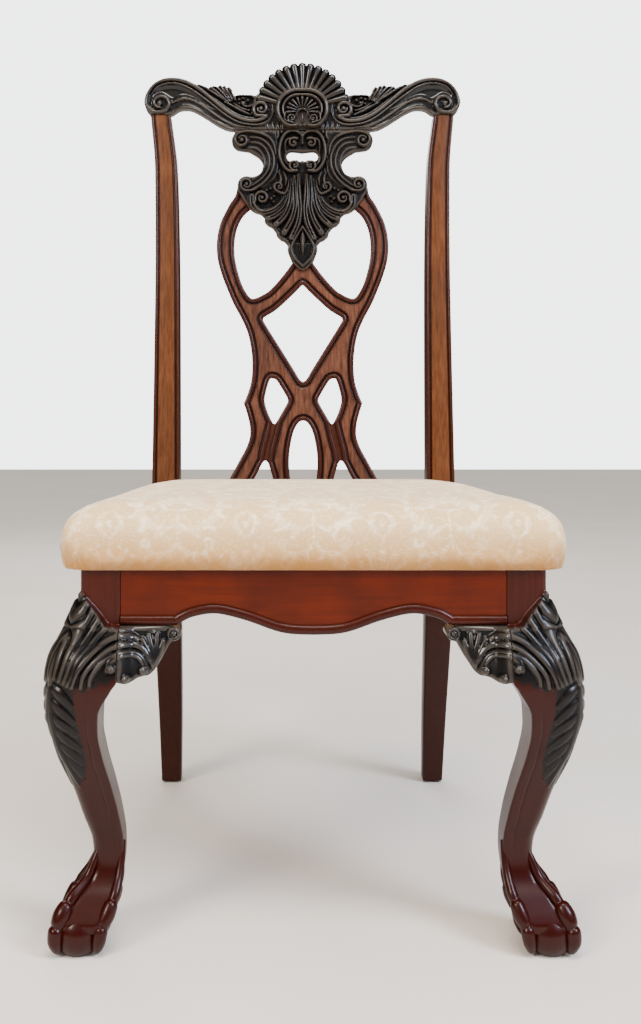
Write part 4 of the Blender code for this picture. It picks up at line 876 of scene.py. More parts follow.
def petal(start, end, spread, base, rise):
    """Closed petal that runs up +Y from the fan's centre: rounded across, swelling outward, rolled over at its tip."""
    rings = []
    along, across = 20, 12
    for i in range(along + 1):
        t = i / along
        radius = start + (end - start) * t
        tip = math.sqrt(max(0, 1 - max(0, (t - 0.86) / 0.14) ** 2))
        half = max(0.05, radius * math.tan(spread) * (0.25 + 0.75 * tip))
        top = rise * (0.45 + 0.75 * t - 0.28 * t ** 4) * (0.35 + 0.65 * tip)
        ring = []
        for k in range(across + 1):
            angle = math.pi * k / across
            ring.append((half * math.cos(angle), radius, base + top * math.sin(angle) ** 0.8))
        ring += [(-half, radius, base - 0.5), (half, radius, base - 0.5)]
        rings.append(np.array(ring) * MM)
    return lofted(rings)


def fan_mesh(lobe_skin, lobes, sweep, centre, stretch):
    """Plain mesh of a fan of lobes in the back; sweep in degrees to each side, stretch across and up."""
    lobe = new_object("one_lobe", mesh_from(*lobe_skin))
    tree, given = node_group("fan_of_lobes", {"Lobes": "Int", "Sweep": "Float", "Centre": "Vector", "Stretch": "Vector",
        "Finish": "Material"}, "Fan")
    add = partial(add_node, tree)
    line = add("GeometryNodeMeshLine", {"Count": given["Lobes"], "Offset": (0, 0, 0)})
    last = add("Math", {0: given["Lobes"], 1: 1.0}, operation="SUBTRACT")
    share = add("Math", {0: add("GeometryNodeInputIndex"), 1: last}, operation="DIVIDE")
    side = add("Math", {0: share, 1: 2.0, 2: -1.0}, operation="MULTIPLY_ADD")
    turn = add("CombineXYZ", {"Z": add("Math", {0: side, 1: given["Sweep"]}, operation="MULTIPLY")})
    one = add("GeometryNodeObjectInfo", {"Object": lobe}, transform_space="ORIGINAL").outputs["Geometry"]
    fan = add("GeometryNodeInstanceOnPoints", {"Points": line, "Instance": one, "Rotation": turn})
    real = add("GeometryNodeRealizeInstances", {"Geometry": fan})
    moved = add("GeometryNodeTransform", {"Geometry": real, "Translation": given["Centre"], "Scale": given["Stretch"]})
    add("NodeGroupOutput", {0: add("GeometryNodeSetMaterial", {"Geometry": moved, "Material": given["Finish"]})})
    middle = (0, centre * (1 / math.cos(BACK_LEAN)) * MM, 0)
    mesh = grown_mesh(bpy.data.meshes.new("fan"), tree, {
        "Lobes": lobes, "Sweep": math.radians(sweep), "Centre": middle, "Stretch": (*stretch, 1),
        "Finish": finish("carved_mahogany")})
    bpy.data.objects.remove(lobe)
    mesh.transform(BACK_FRAME)
    return mesh


def medallion_carving(points, edge):
    """Horseshoe bands round a small shell's ground, with two volutes and a husk below."""
    work = Carving(folded(points), 6)
    work.hollow([(0, 596), (14, 597), (27, 606), (31, 620), (26, 637), (12, 646), (0, 647.5), (-12, 646), (-26, 637),
        (-31, 620), (-27, 606), (-14, 597)], 2.4, 5)
    work.ridge(on_head((530, 274), (468, 276), (410, 300), (366, 346), (350, 404), (358, 466), (390, 512), (438, 536),
        (482, 532)), 5, 4, 17.5, ends=(1, 0.6))
    work.ridge(on_head((530, 308), (470, 311), (422, 336), (391, 382), (387, 432), (402, 472)), 3, 4, 15.5,
        ends=(1, 0.8))
    lead = on_head((404, 440), (398, 465), (404, 500))
    work.volute(lead, ((16.4, 605), 7, -100, 470, 2.2), 2.5, 4, 16, (0.8, 0.75), (3, 16.2))
    work.ridge([(0, 600), (0, 606), (0, 613)], 3.2, 4, 13.5, ends=(0.5, 0.6))
    work.ridge([(8.6, 608), (8.6, 613.5), (5, 618.6), (0, 620)], 2.2, 4, 14, ends=(0.6, 1))
    for x in (3.4, 9):
        work.dome((x, 594.6), 2.9, 4, 12.4)
    return work.height - rounded_off(edge, 2, 5)


def lobe_relief(flat, centre, lobes, sweep, stretch):
    """Relief over a fan: high along each lobe, falling to nothing in the grooves between them."""
    angle = np.degrees(np.arctan2(flat[:, 0] / stretch[0], (flat[:, 1] - centre) / stretch[1]))
    turn = (angle / sweep + 1) / 2 * (lobes - 1)
    return 0.86 - 0.86 * (2 * np.abs(turn - np.round(turn))) ** 1.6


class CHAIR_OT_crest_shell(bpy.types.Operator):
    """Build the crest's fan shell with its medallion and small shell"""
    bl_idname = "chair.crest_shell"
    bl_label = "Crest Shell"

    def execute(self, context):
        size = sizes()
        step = size.carving_step / MM
        half = [(0, 663.4), (16, 660), (30, 650), (38.6, 636), (40.4, 620), (38.4, 608), (32, 597.6), (26, 591)]
        outlines = [mirrored(outline(step, half, [(26, 591), (0, 591)]))]
        parts = [carved_mesh(outlines, step, medallion_carving, 3)]
        lobe = petal(FAN_START, FAN_REACH, math.radians(FAN_SWEEP) / size.lobes * 1.06, 3.6, 8.6)
        parts.append(fan_mesh(lobe, size.lobes, FAN_SWEEP, SHELL_CENTRE, (1, 1)))
        small = petal(SMALL_START, SMALL_REACH, math.radians(100) / size.petals * 0.98, 5, 9)
        parts.append(fan_mesh(small, size.petals, SMALL_SWEEP, SMALL_CENTRE, SMALL_STRETCH))
        backing = [*arc((0, SHELL_CENTRE), FAN_REACH - 5, 90, 90 - FAN_SWEEP), (52, 628), (40, 612), (30, 592),
            (0, 592)]
        plate = mirrored(np.array(backing))
        skin = carved_panel([plate], np.empty((0, 2)), lambda p: np.full(len(p), 6.0), 4.0, on_back)
        parts.append(mesh_from(*skin, turn_out=False))
        bm = bmesh.new()
        for part in parts:
            bm.from_mesh(part)
            bpy.data.meshes.remove(part)
        mesh = bpy.data.meshes.new("crest_shell")
        bm.to_mesh(mesh)
        bm.free()
        note_hollows(mesh, 14, 0.0011)
        flat = on_panel(places_of(mesh))
        fan_relief = lobe_relief(flat, SHELL_CENTRE, size.lobes, FAN_SWEEP, (1, 1))
        relief = np.where(inside(flat[:, :2], outlines), numbers_of(mesh, "relief"), fan_relief)
        away = np.hypot(flat[:, 0] / SMALL_STRETCH[0], (flat[:, 1] - SMALL_CENTRE) / SMALL_STRETCH[1])
        petals = (away > 7.4) & (away < 24.8) & (flat[:, 1] > SMALL_CENTRE - 4) & (flat[:, 2] > 5.2)
        small_relief = lobe_relief(flat, SMALL_CENTRE, size.petals, SMALL_SWEEP, SMALL_STRETCH)
        note(mesh, "relief", np.where(petals, small_relief, relief))
        carved_piece("crest_shell", mesh, 60)
        return {"FINISHED"}


# Splat

SHOE_TOP = 34
SPLAT_BACK = -18
TOP_VOLUTE = ((92.8, 573), 15.4)
LOWER_VOLUTE = ((85.4, 504), 13.5)
STRAP_OUTER = [(99, 500), (103, 487), (110.6, 475.5), (118, 461.5), (124.6, 446.8), (128.8, 430), (130.6, 410),
    (128.6, 388), (121.9, 364.5), (113.4, 342.5), (104.2, 321.5), (92.8, 300.5), (83.6, 279.5), (78.2, 256), (76, 231),
    (77.4, 206), (82.4, 187.5), (88.7, 172)]
STRAP_FOOT = [(88.7, 172), (83.6, 156), (79.6, 139), (79.4, 122), (85.2, 105), (94.4, 88), (104.7, 68.7), (114, 51),
    (122, SHOE_TOP)]
LANE = [(42.6, 146), (46.2, 129), (50, 114), (53.4, 101), (56.4, 84)]
LANE_HALF, LANE_DEPTH = 3.4, 5
SPLAT_NECK = [(81.5, 556), (66, 546), (60.3, 535), (64, 522), (74, 516.5)]
LEAF_TIPS = [[(79.8, 466.5), (72.4, 461.2), (64, 458.6), (57.8, 453)], [(57.8, 453), (57, 446), (51.2, 440.2)],
    [(51.2, 440.2), (46, 437.6), (40.6, 431)], [(40.6, 431), (38.2, 424), (32.2, 418.2)],
    [(32.2, 418.2), (27, 416), (22.4, 410.5)], [(22.4, 410.5), (22.4, 402), (17.6, 389), (15.5, 384)]]


def splat_outlines(step):
    """The splat's outer edge, then its openings."""
    bar = SHOE_TOP + 6
    half = outline(step, [(0, SPLAT_JOINT), (104.8, SPLAT_JOINT)], arc(*TOP_VOLUTE, 45, -75), SPLAT_NECK,
        arc(*LOWER_VOLUTE, 115, 0), STRAP_OUTER, STRAP_FOOT, [(122, SHOE_TOP), (0, SHOE_TOP)])
    pear_edge = [(79.8, 466.5), (89.5, 457.5), (96.4, 446), (101.4, 431), (103.7, 411), (102.5, 391), (98, 370),
        (91.2, 349.5), (83.2, 335.2), (77.4, 329.8), (70.5, 330.6), (60, 335.5), (49.9, 342.3), (32.5, 361.3),
        (15.5, 384)]
    pear = outline(step, pear_edge, *[run[::-1] for run in LEAF_TIPS[::-1]])
    gap = outline(step, [(52, 83.5), (56, 87), (61, 83), (71.5, 63), (86, bar)], [(86, bar), (41, bar)],
        [(41, bar), (45.5, 62), (52, 83.5)])
    diamond = smooth_run([(50, 207.5), (54.5, 193.5), (57.5, 176.2), (53, 159), (46.5, 145), (43, 141.5), (39.5, 144.8),
        (30.5, 160), (23.8, 172), (22.6, 176.5), (24, 181), (30.5, 192.5), (38, 204.5), (41.5, 208.2), (46.5, 209.3)],
        step, closed=True)[:-1]
    kite = mirrored(outline(step, [(0, 351), (3, 348.6), (8.9, 342.3), (23.1, 328.4), (39.2, 313.8), (50, 306.6),
        (57.2, 302.4), (59.8, 299.2), (58.2, 293.4), (44, 270.5), (28, 245), (14, 222.5), (5, 207.5), (0, 203.8)]))
    oval = mirrored(outline(step, [(0, 146.5), (6.3, 143.8), (12.8, 133.5), (17.1, 119.4), (20.4, 100), (21.2, 80),
        (19.5, 60), (15, bar)], [(15, bar), (0, bar)]))
    hand = mirrored(outline(step, [(0, 554.5), (12, 556), (20, 555.5), (24, 550), (22, 543.5), (16, 541.5), (9, 543.5),
        (4, 541), (0, 543)]))
    return [mirrored(half), kite, oval, hand, pear, flipped(pear), gap, flipped(gap), diamond, flipped(diamond)]


def head_outline():
    """Border of the carved head, where the straps leave it."""
    half = [(0, SPLAT_JOINT + 1), (110, SPLAT_JOINT + 1), (110, 500), (98.5, 494), (90, 480), (80.5, 466)]
    for run in LEAF_TIPS:
        half += run[1:]
    half += [(9, 376.5), (0, 371.5)]
    return mirrored(np.array(half, float))


def head_carving(work):
    """Scrolls, volutes and falling leaves of the splat's head."""
    low, foot = -0.5, 0.8
    work.hollow(on_head((350, 560), (345, 680), (350, 800), (330, 900), (250, 970), (150, 1020), (150, 1140),
        (250, 1180), (420, 1370), (540, 1300), (540, 575)), 3.2, 5)
    # Falling leaves from the foot of the scrolls, outer ones first
    leaves = [
        ((405, 1020), (385, 1085), (335, 1140), (268, 1168), (205, 1158), (165, 1110), (162, 1050)),
        ((430, 985), (424, 1060), (396, 1130), (340, 1185), (276, 1214)),
        ((448, 930), (444, 1030), (432, 1120), (395, 1195), (335, 1256)),
        ((470, 900), (470, 1030), (472, 1130), (446, 1225), (394, 1316)),
        ((496, 890), (500, 1040), (508, 1150), (492, 1250), (448, 1352)),
    ]
    for i, line in enumerate(leaves):
        work.ridge(on_head(*line), 6.2, low, 8.6 + 0.35 * i, ends=(0.4, 1), crease=0.34)
    for tip in ((282, 1206), (342, 1246), (402, 1306), (446, 1340)):
        work.dome(on_head(tip)[0], 4.6, low, 9.4)
    lead = on_head((300, 1150), (225, 1150), (180, 1110))
    work.volute(lead, ((61.8, 483), 10.8, -20, 420, 4.4), 3.4, low, 9, (0.5, 0.7), (4.2, 9.4))
    lead = on_head((428, 930), (422, 985), (395, 1030))
    work.volute(lead, ((36.2, 500.6), 7.6, -60, 360, 3.2), 2.8, low, 8.4, (0.5, 0.7), (3.2, 8.4))
    for ball, size in (((302, 1066), 2.8), ((322, 1048), 2.4), ((268, 1004), 2.6), ((296, 992), 2.4),
            ((318, 1088), 2.2)):
        work.dome(on_head(ball)[0], size, low, 7.4)
    work.ridge(on_head((356, 868), (372, 920), (362, 968), (330, 985)), 2.4, low, 7.4, ends=(0.5, 0.5))
    work.ridge(on_head((390, 866), (408, 920), (404, 970)), 2.3, low, 7.8, ends=(0.5, 0.5))
    # Stem and bud
    work.ridge(on_head((540, 860), (540, 960), (540, 1120), (540, 1260)), 3.4, low, 8, ends=(1, 0.5))
    work.ridge(on_head((537, 1256), (498, 1316), (458, 1388), (446, 1440), (470, 1500), (537, 1566)), 3.4, low, 8.2,
        ends=(0.7, 0.8))
    work.ridge(on_head((540, 1270), (540, 1330), (540, 1400), (540, 1460), (540, 1510)), 8, low, 11.5, ends=(0.12, 0.2))
    # Outer scrolls, from the top volute round to the lower one
    work.ridge(on_head((140, 690), (196, 698), (236, 736), (254, 790), (247, 845), (214, 893), (168, 925)), 2.6, foot,
        6.8, ends=(0.8, 0.8))
    work.ridge(on_head((150, 650), (215, 662), (265, 706), (288, 775), (282, 845), (246, 905), (190, 952), (140, 985)),
        2.8, foot, 8, ends=(0.7, 0.8))
    work.ridge(on_head((150, 614), (225, 626), (285, 676), (319, 755), (316, 840), (281, 910), (226, 966), (160, 1003)),
        3, foot, 8.6, ends=(0.7, 0.9))
    lead = on_head((334, 742), (322, 672), (290, 622), (235, 590), (170, 574), (120, 570))
    work.volute(lead, (TOP_VOLUTE[0], 11.8, 84, -410, 5.4), 3.6, foot, 9.4, (0.6, 0.85), (5.2, 9.8))
    lead = on_head((226, 966), (180, 1000), (140, 1008))
    work.volute(lead, (LOWER_VOLUTE[0], 10, -84, 410, 4.6), 3.2, foot, 9.2, (0.6, 0.85), (4.6, 9.6))
    # Scrolls round the handhold
    lead = on_head((528, 660), (526, 606), (488, 572), (428, 572), (386, 612), (364, 682), (362, 752), (386, 818),
        (428, 862))
    work.volute(lead, ((12.4, 533.6), 8.8, -110, 390, 3.6), 3.2, foot, 9.4, (0.7, 0.8), (3.8, 9.8))
    lead = on_head((404, 720), (402, 672), (418, 630))
    work.volute(lead, ((13.6, 568.8), 8.2, 130, -400, 2.4), 2.5, foot, 8.6, (0.4, 0.7), (3, 8.6))
    work.ridge(on_head((400, 742), (404, 790), (432, 826)), 1.7, foot, 7.4, ends=(0.5, 0.5))
    for line in (((350, 560), (352, 600), (338, 640)), ((318, 562), (322, 600)), ((288, 560), (296, 588)),
            ((380, 560), (372, 590))):
        work.ridge(on_head(*line), 2.4, foot, 6.8, ends=(1, 0.3))


def strap_gaps(points, tree):
    """Distance in from the nearest edge of a strap, and from the sunk lane between crossing straps (below 0 in it)."""
    lane = distances(folded(points), smooth_run(LANE, 1.2))[0] - LANE_HALF
    return np.minimum(edge_gap(points[:, :2], tree), np.abs(lane)), lane


def splat_heights(points, tree, border):
    """Carved head within its border, beaded straps below it."""
    strap, lane = strap_gaps(points, tree)
    within = inside(points, [border])
    head = Carving(folded(points), 4.5)
    head_carving(head)
    carved = head.height - rounded_off(edge_gap(points, tree), 2.2, 2.6)
    return np.where(within, np.maximum(carved, -1.5), np.where(lane < 0, -LANE_DEPTH, edge_mould(strap)))


class CHAIR_OT_back_splat(bpy.types.Operator):
    """Carve the pierced splat: beaded straps under a scrolled and leafy head"""
    bl_idname = "chair.back_splat"
    bl_label = "Back Splat"

    def execute(self, context):
        step = sizes().carving_step / MM
        outlines = splat_outlines(step * 1.25)
        border = head_outline()
        tree = edge_tree(outlines)
        fine = panel_field(outlines, tree, step, lambda p: inside(p, [border]))
        rows = np.vstack([mould_rows(path, outlines, tree) for path in outlines])
        rows = rows[~inside(rows, [border])]
        coarse = panel_field(outlines, tree, 3.2, lambda p: ~inside(p, [border]))
        coarse = coarse[edge_gap(coarse, tree) > (sizes().bead + sizes().groove) / MM + 2.6]
        crossing = panel_field(outlines, tree, step, lambda p: np.abs(strap_gaps(p, tree)[1]) < 11)
        coarse = coarse[strap_gaps(coarse, tree)[1] > 12]
        field = np.vstack([fine, rows, coarse, crossing])
        skin = carved_panel(outlines, field, lambda p: splat_heights(p, tree, border), SPLAT_BACK, on_back, 4.5)
        mesh = mesh_from(*skin, turn_out=False)
        note_hollows(mesh, 14, 0.001)
        flat = on_panel(places_of(mesh))
        dark = head_share(flat, border)
        note(mesh, "dark", dark)
        gap, lane = strap_gaps(flat, tree)
        gap *= MM
        bead, groove = sizes().bead, sizes().groove
        moulded = 1 - step_up(0.9, 1.2, gap / (bead + groove))
        sunk = np.clip(1 - np.abs(gap - bead - groove * 0.4) / groove * 1.7, 0, 1)
        note(mesh, "relief", numbers_of(mesh, "relief") * dark + (0.55 - 0.45 * sunk * (lane > 0)) * (1 - dark))
        note(mesh, "deep", np.where(lane < 0, 0.55, 0.8 * moulded) * (1 - dark))
        new_piece("back_splat", mesh, finish("strap_mahogany"), ["back_splat"])
        return {"FINISHED"}


def on_panel(places):
    """Carving coordinates and height off the back's plane, from places; in millimetres."""
    flat = (np.array(BACK_FRAME.inverted())[:3, :3] @ (places - np.array(BACK_FRAME.translation)).T).T / MM
    flat[:, 1] *= math.cos(BACK_LEAN)
    return flat


def head_share(flat, border):
    """How far each place belongs to the dark carved head, softened at its border."""
    gap = distances(flat[:, :2], border, True)[0] * np.where(inside(flat[:, :2], [border]), 1, -1)
    return step_up(-1.5, 1.5, gap) * step_up(-16, -6, flat[:, 2])


# Rear posts

POST_SEAT = (0.20345, 0.0415, 0.041)
POST_TOP = (0.2175, 0.0308, 0.028)
POST_RISE = 0.613
POST_MOULD = 0.74
REAR_RAKE = 0.09
FOOT_BOTTOM = 0.0033
POST_LEG = (
    # share of the height, then shares of the seat's centre and width, of the rake, and of the seat's depth
    (0.00, 0.9943, 0.7084, 1.00, 0.7805),
    (0.35, 0.9889, 0.8313, 0.60, 0.8293),
    (0.70, 0.9904, 0.9277, 0.22, 0.9024),
    (1.00, 1.0000, 1.0000, 0.00, 1.0000),
)
POST_STILE = (
    # share of the height, then shares of the change in centre, width and depth from seat to crest
    (0.00, 0.000, 0.000, 0.000),
    (0.56, 0.089, 0.495, 0.385),
    (0.86, 0.359, 0.738, 0.769),
    (1.00, 1.000, 1.000, 1.000),
)


def post_section(width, depth, moulded):
    """Section of a post: across and behind its front, in millimetres, with a bead and groove at each front edge."""
    bead, groove = sizes().bead / MM * POST_MOULD, sizes().groove / MM * POST_MOULD
    steps = [0] + [bead * s for s in (0.06, 0.2, 0.4, 0.6, 0.8, 0.94)]
    steps += [bead + groove * s for s in (0, 0.15, 0.35, 0.5, 0.65, 0.85, 1)] + [bead + groove + 1]
    gaps = np.array(steps)
    crown = 0.5
    middle = np.linspace(-1, 1, 7)[1:-1] * (width / 2 - gaps[-1])
    across = np.concatenate([gaps - width / 2, middle, (width / 2 - gaps)[::-1]])
    edge = width / 2 - np.abs(across)
    front = -edge_mould(edge / POST_MOULD) * moulded + (1 - moulded) * 1.2 * np.clip(1 - edge / 2.5, 0, 1) ** 2
    front -= crown * moulded * np.clip(1 - (across / (width / 2 - gaps[-1])) ** 2, 0, 1)
    round_off = 4
    right = [(width / 2 - round_off + round_off * math.cos(a),
        depth - round_off + round_off * math.sin(a)) for a in np.linspace(0, math.pi / 2, 6)]
    left = [(-x, y) for x, y in reversed(right)]
    return np.array([*zip(across, front), *right, *left])


def post_edges():
    """Where a post's section is moulded or turns to its sides, point by point, as 1 or 0."""
    section = post_section(30, 30, 1)
    edge = 15 - np.abs(section[:, 0])
    return ((edge * MM < (sizes().bead + sizes().groove) * POST_MOULD + 0.0003) | (section[:, 1] > 4.0)).astype(float)


def post_rings(side):
    """Rings of a rear post in metres, from its foot to the crest."""
    rings = []
    lean = math.tan(BACK_LEAN)

    def add(centre, width, depth, front, height, tilt, moulded):
        section = post_section(width / MM, depth / MM, moulded) * MM
        x = side * (centre + section[:, 0])
        y = front + section[:, 1]
        rings.append(np.column_stack([x, y, height - tilt * section[:, 1]]))

    shares = np.linspace(0, 1, 40)
    for share, (centre, width, rake, depth) in zip(shares, table_column(POST_LEG, shares)):
        height = FOOT_BOTTOM + share * (RAIL_BOTTOM - FOOT_BOTTOM)
        add(centre * POST_SEAT[0], width * POST_SEAT[1], depth * POST_SEAT[2], POST_FRONT_Y + rake * REAR_RAKE, height,
            0, 0)
    seat, top = np.array(POST_SEAT), np.array(POST_TOP)
    shares = np.linspace(0, 1, 90)
    for share, change in zip(shares, table_column(POST_STILE, shares)):
        centre, width, depth = seat + change * (top - seat)
        rise = share * POST_RISE
        add(centre, width, depth, POST_FRONT_Y + rise * lean, RAIL_TOP + rise, lean * min(1.0, share / 0.25),
            float(step_up(0.01, 0.04, share)))
    return rings


class CHAIR_OT_rear_posts(bpy.types.Operator):
    """Shape the rear posts, with a bead and groove along both edges of the stile"""
    bl_idname = "chair.rear_posts"
    bl_label = "Rear Posts"

    def execute(self, context):
        for name, side in SIDES:
            mesh = mesh_from(*lofted(post_rings(side)))
            note_hollows(mesh, 3, 0.0005)
            note(mesh, "dark", np.zeros(len(mesh.vertices)))
            place = places_of(mesh)
            relief = numbers_of(mesh, "relief")
            note(mesh, "relief", np.where(place[:, 2] > RAIL_TOP + 0.02, relief, np.maximum(relief, 0.5)))
            # Painted shade under the seat: below the seat rail the post takes the deep colour; the mouldings, sides and
            # back take part of it all the way up
            low = 0.9 * (1 - step_up(0.36, 0.43, place[:, 2]))
            rows = np.tile(post_edges(), len(mesh.vertices) // len(post_edges()))
            note(mesh, "deep", np.maximum(low, 0.72 * rows))
            new_piece(f"{name}_rear_post", mesh, finish("post_mahogany"), [f"{name}_rear_post"])
        return {"FINISHED"}


# Front legs: offsets out and ahead of the block's outer corner, and height, in millimetres

LEG_PROFILE = (
    # height, outer offset, inner offset, outer corner radius, other corners' radius
    (27, 25.6, -28, 16, 10),
    (34, 25.4, -29.5, 16, 10),
    (42, 21, -34, 14, 9),
    (52, 13, -38, 13, 8.5),
    (60, 6.5, -41, 12, 8),
    (72, -5, -44, 12, 7),
    (84, -10, -46, 12.5, 5.5),
    (98, -11.8, -47, 13, 4.5),
    (112.2, -10.5, -46.7, 14, 4),
    (141.8, -2, -43.2, 14, 4),
    (176.8, 7.8, -36.4, 14, 4),
    (217.1, 22.2, -27.5, 16, 4),
    (244, 30, -23.8, 19, 4),
    (264.2, 35, -24.5, 23, 4),
    (292.4, 36.7, -38.5, 30, 4),
    (303.2, 36, -44.9, 32, 0.8),
    (323.4, 32, -45, 32, 0.6),
    (340.9, 23, -45, 26, 0.6),
    (356.5, 2.5, -45, 14, 0.8),
    (358.5, 0, -45, 8, 2),
    (418, 0, -45, 8, 2),
)
LEAF_RISE = (
    # height, how far the knee's leaf stands out from the block there
    (296, 36), (316, 32.4), (336, 25.2), (353, 17.4), (369.5, 10.6), (382, 4.6), (392, 0.8), (400, 0),
)
LEAF_TOP = (
    # height, offset at which the leaf's upper edge crosses the block's face
    (340, -70), (353, -60), (356, -47), (358.5, -32), (368, -24.5), (376.7, -17.5), (384, -11),
    (394, -4), (400, 2),
)
FRONDS = (
    # half-width, height, then (offset from the block's corner, height) from root to tip
    (4.6, 3.6, ((26.8, 300), (21.5, 331), (12.3, 356.6), (4, 379), (-2.5, 392.5))),
    (4.4, 3.4, ((22.6, 306), (14.5, 337.4), (1.6, 361.5), (-9.4, 382.6))),
    (4.6, 3.4, ((16.5, 304), (6.8, 332.6), (-5.2, 355), (-15.8, 375.4))),
    (4.6, 3.4, ((11.5, 302), (0.6, 329.4), (-13, 350.2), (-23, 366.4))),
    (4.4, 3.3, ((7.5, 299.5), (-4.4, 326.2), (-19.6, 345.4), (-29.6, 356.4))),
    (4.5, 3.6, ((3.2, 297.5), (-3.4, 315), (-18.4, 333.8), (-36.4, 346.6), (-52.5, 349.6), (-64.7, 344))),
    (4.2, 3.4, ((-6.5, 296.5), (-10.4, 311), (-22.4, 325.6), (-38, 337.6), (-54, 340.6), (-70, 336),
                (-80.3, 322.8))),
    (3.6, 3, ((-15.6, 296.5), (-17.6, 308.5), (-26, 320.6), (-37.4, 329.4), (-50.9, 332.6))),
)
SCROLL = ((-36, 316.5), (-38.4, 325.5), (-50.9, 331.4), (-66, 328.6), (-74.5, 318.1), (-73.5, 311.5))
SCROLL_BALLS = ((-39.2, 316.6, 5), (-55, 305.8, 4.6), (-72.6, 312, 5))
SPRAY_ROOT = (-83.5, 311.5)
SPRAY_TIPS = ((-70.5, 344), (-77.5, 348.5), (-86.5, 349), (-93, 341))
ROLL = (-104.6, 347.8, 7.5)
TAIL_LOBES = (
    ((24, 296), (12, 286), (3.5, 277)),
    ((24, 281), (11, 269), (1.5, 259.5)),
    ((23, 265), (10, 254), (-1.5, 244.5)),
    ((20.5, 249), (7, 237), (-5.5, 227)),
    ((15, 232), (3, 220), (-7, 210.5)),
    ((8, 215), (-1, 204), (-6.5, 194.5)),
)
TAIL_EDGE = (
    # height, offset of the tail leaf's inner edge
    (176, 4), (184, -2.5), (196, -8.2), (212, -10), (228, -8.4), (252, -3.6), (276, 0.2), (296, 1),
)


def knee_carving(points):
    """Relief of the knee and its brackets over (offset in from the corner, height)."""
    cut = Carving(points, 0)
    for half, crown, path in FRONDS:
        cut.ridge(path, half * 0.96, -0.8, crown, ends=(0.7, 0.95))
    cut.ridge(smooth_run(SCROLL, 1.2), 4.4, -0.4, 3.4, crease=0.22)
    for x, height, radius in SCROLL_BALLS:
        cut.dome((x, height), radius, -0.5, 5.2)
    for tip in SPRAY_TIPS:
        bend = ((SPRAY_ROOT[0] * 0.55 + tip[0] * 0.45) - 1, SPRAY_ROOT[1] * 0.5 + tip[1] * 0.5)
        cut.ridge([SPRAY_ROOT, bend, tip], 3.5, -0.4, 3.2, ends=(0.5, 0.75), crease=0.15)
    cut.dome((-82.5, 351), 2.6, 0, 2.6)
    for path in TAIL_LOBES:
        cut.ridge(path, 5.4, -0.6, 1.9, ends=(0.7, 0.72), crease=0.12)
    cut.ridge(((27.5, 298), (26, 262), (20.5, 232), (8, 204), (-2, 181)), 4.2, -0.4, 2.2, ends=(0.8, 0.35))
    return cut.height


def leaf_share(points):
    """Where the knee's leaf lies over the block, from 0 to 1."""
    return step_up(-1.5, 3, points[:, 0] - track(LEAF_TOP, points[:, 1]))


def knee_dark(points):
    """Share of the dark carved finish: over the leaf and the tail, shaded off below."""
    a, height = points.T
    above = step_up(292, 297, height + 0.3 * np.minimum(a + 10, 0) + 2.2 * np.sin(a * 0.5))
    tail = step_up(-2, 2.5, a - track(TAIL_EDGE, height)) * step_up(174, 188, height)
    return np.maximum(above * leaf_share(points), 0.92 * tail)


def leg_section(outer, inner, corner, other):
    """Ring of a leg as offsets (out, ahead), with each point's way outward, in equal counts for every ring."""
    face = np.linspace(0, 1, 56, endpoint=False)
    bend = np.linspace(0, math.pi / 2, 30, endpoint=False)
    small = np.linspace(0, math.pi / 2, 5, endpoint=False)
    short = np.linspace(0, 1, 12, endpoint=False)
    points, ways = [], []

    def straight(start, end, shares, way):
        points.append(np.array(start) + shares[:, None] * (np.array(end) - np.array(start)))
        ways.append(np.broadcast_to(way, (len(shares), 2)))

    def turned(centre, radius, angles):
        way = np.column_stack([np.cos(angles), np.sin(angles)])
        points.append(np.array(centre) + radius * way)
        ways.append(way)

    low, high, bent = inner + other, outer - other, outer - corner
    straight((outer, low), (outer, bent), face, (1, 0))
    turned((bent, bent), corner, bend)
    straight((bent, outer), (low, outer), face, (0, 1))
    turned((low, high), other, small + math.pi / 2)
    straight((inner, high), (inner, low), short, (-1, 0))
    turned((low, low), other, small + math.pi)
    straight((low, inner), (high, inner), short, (0, -1))
    turned((high, low), other, small + 1.5 * math.pi)
    return np.vstack(points), np.vstack(ways)


def leg_skin():
    """Carved skin of a leg as (out, ahead, height) and its dark finish, from the foot's web to the block's top."""
    heights = np.concatenate([np.arange(27, 172, 2.2), np.arange(172, 398, 1.05), [398.5, 408, 417, 418]])
    profile = table_column(LEG_PROFILE, heights)
    sections = [leg_section(*row) for row in profile]
    points, ways = [np.vstack(part) for part in zip(*sections)]
    count = len(sections[0][0])
    outer, inner, level = [np.repeat(column, count) for column in (profile[:, 0], profile[:, 1], heights)]
    chart = np.column_stack([points.min(1), level])
    faced = (ways.max(1) > 0.05) & (ways.min(1) > -0.05)
    relief = np.zeros(len(chart))
    dark = step_up(298, 304, level) * (1 - step_up(355, 358, level))
    relief[faced] = knee_carving(chart[faced])
    dark[faced] = knee_dark(chart[faced])
    over = leaf_share(chart) * faced
    lift = over * np.maximum(track(LEAF_RISE, level) - outer, 0) * (level > 296)
    lift += np.where(level > 357.0, relief * over, relief)
    plain = step_up(95, 120, level) * (1 - step_up(250, 285, level)) * faced
    lift -= 1.3 * plain * np.clip(1 - np.abs(chart[:, 0] - inner - 11.5) / 3.2, 0, 1) ** 2
    return np.split(np.column_stack([points + ways * lift[:, None], level]), len(heights)), dark


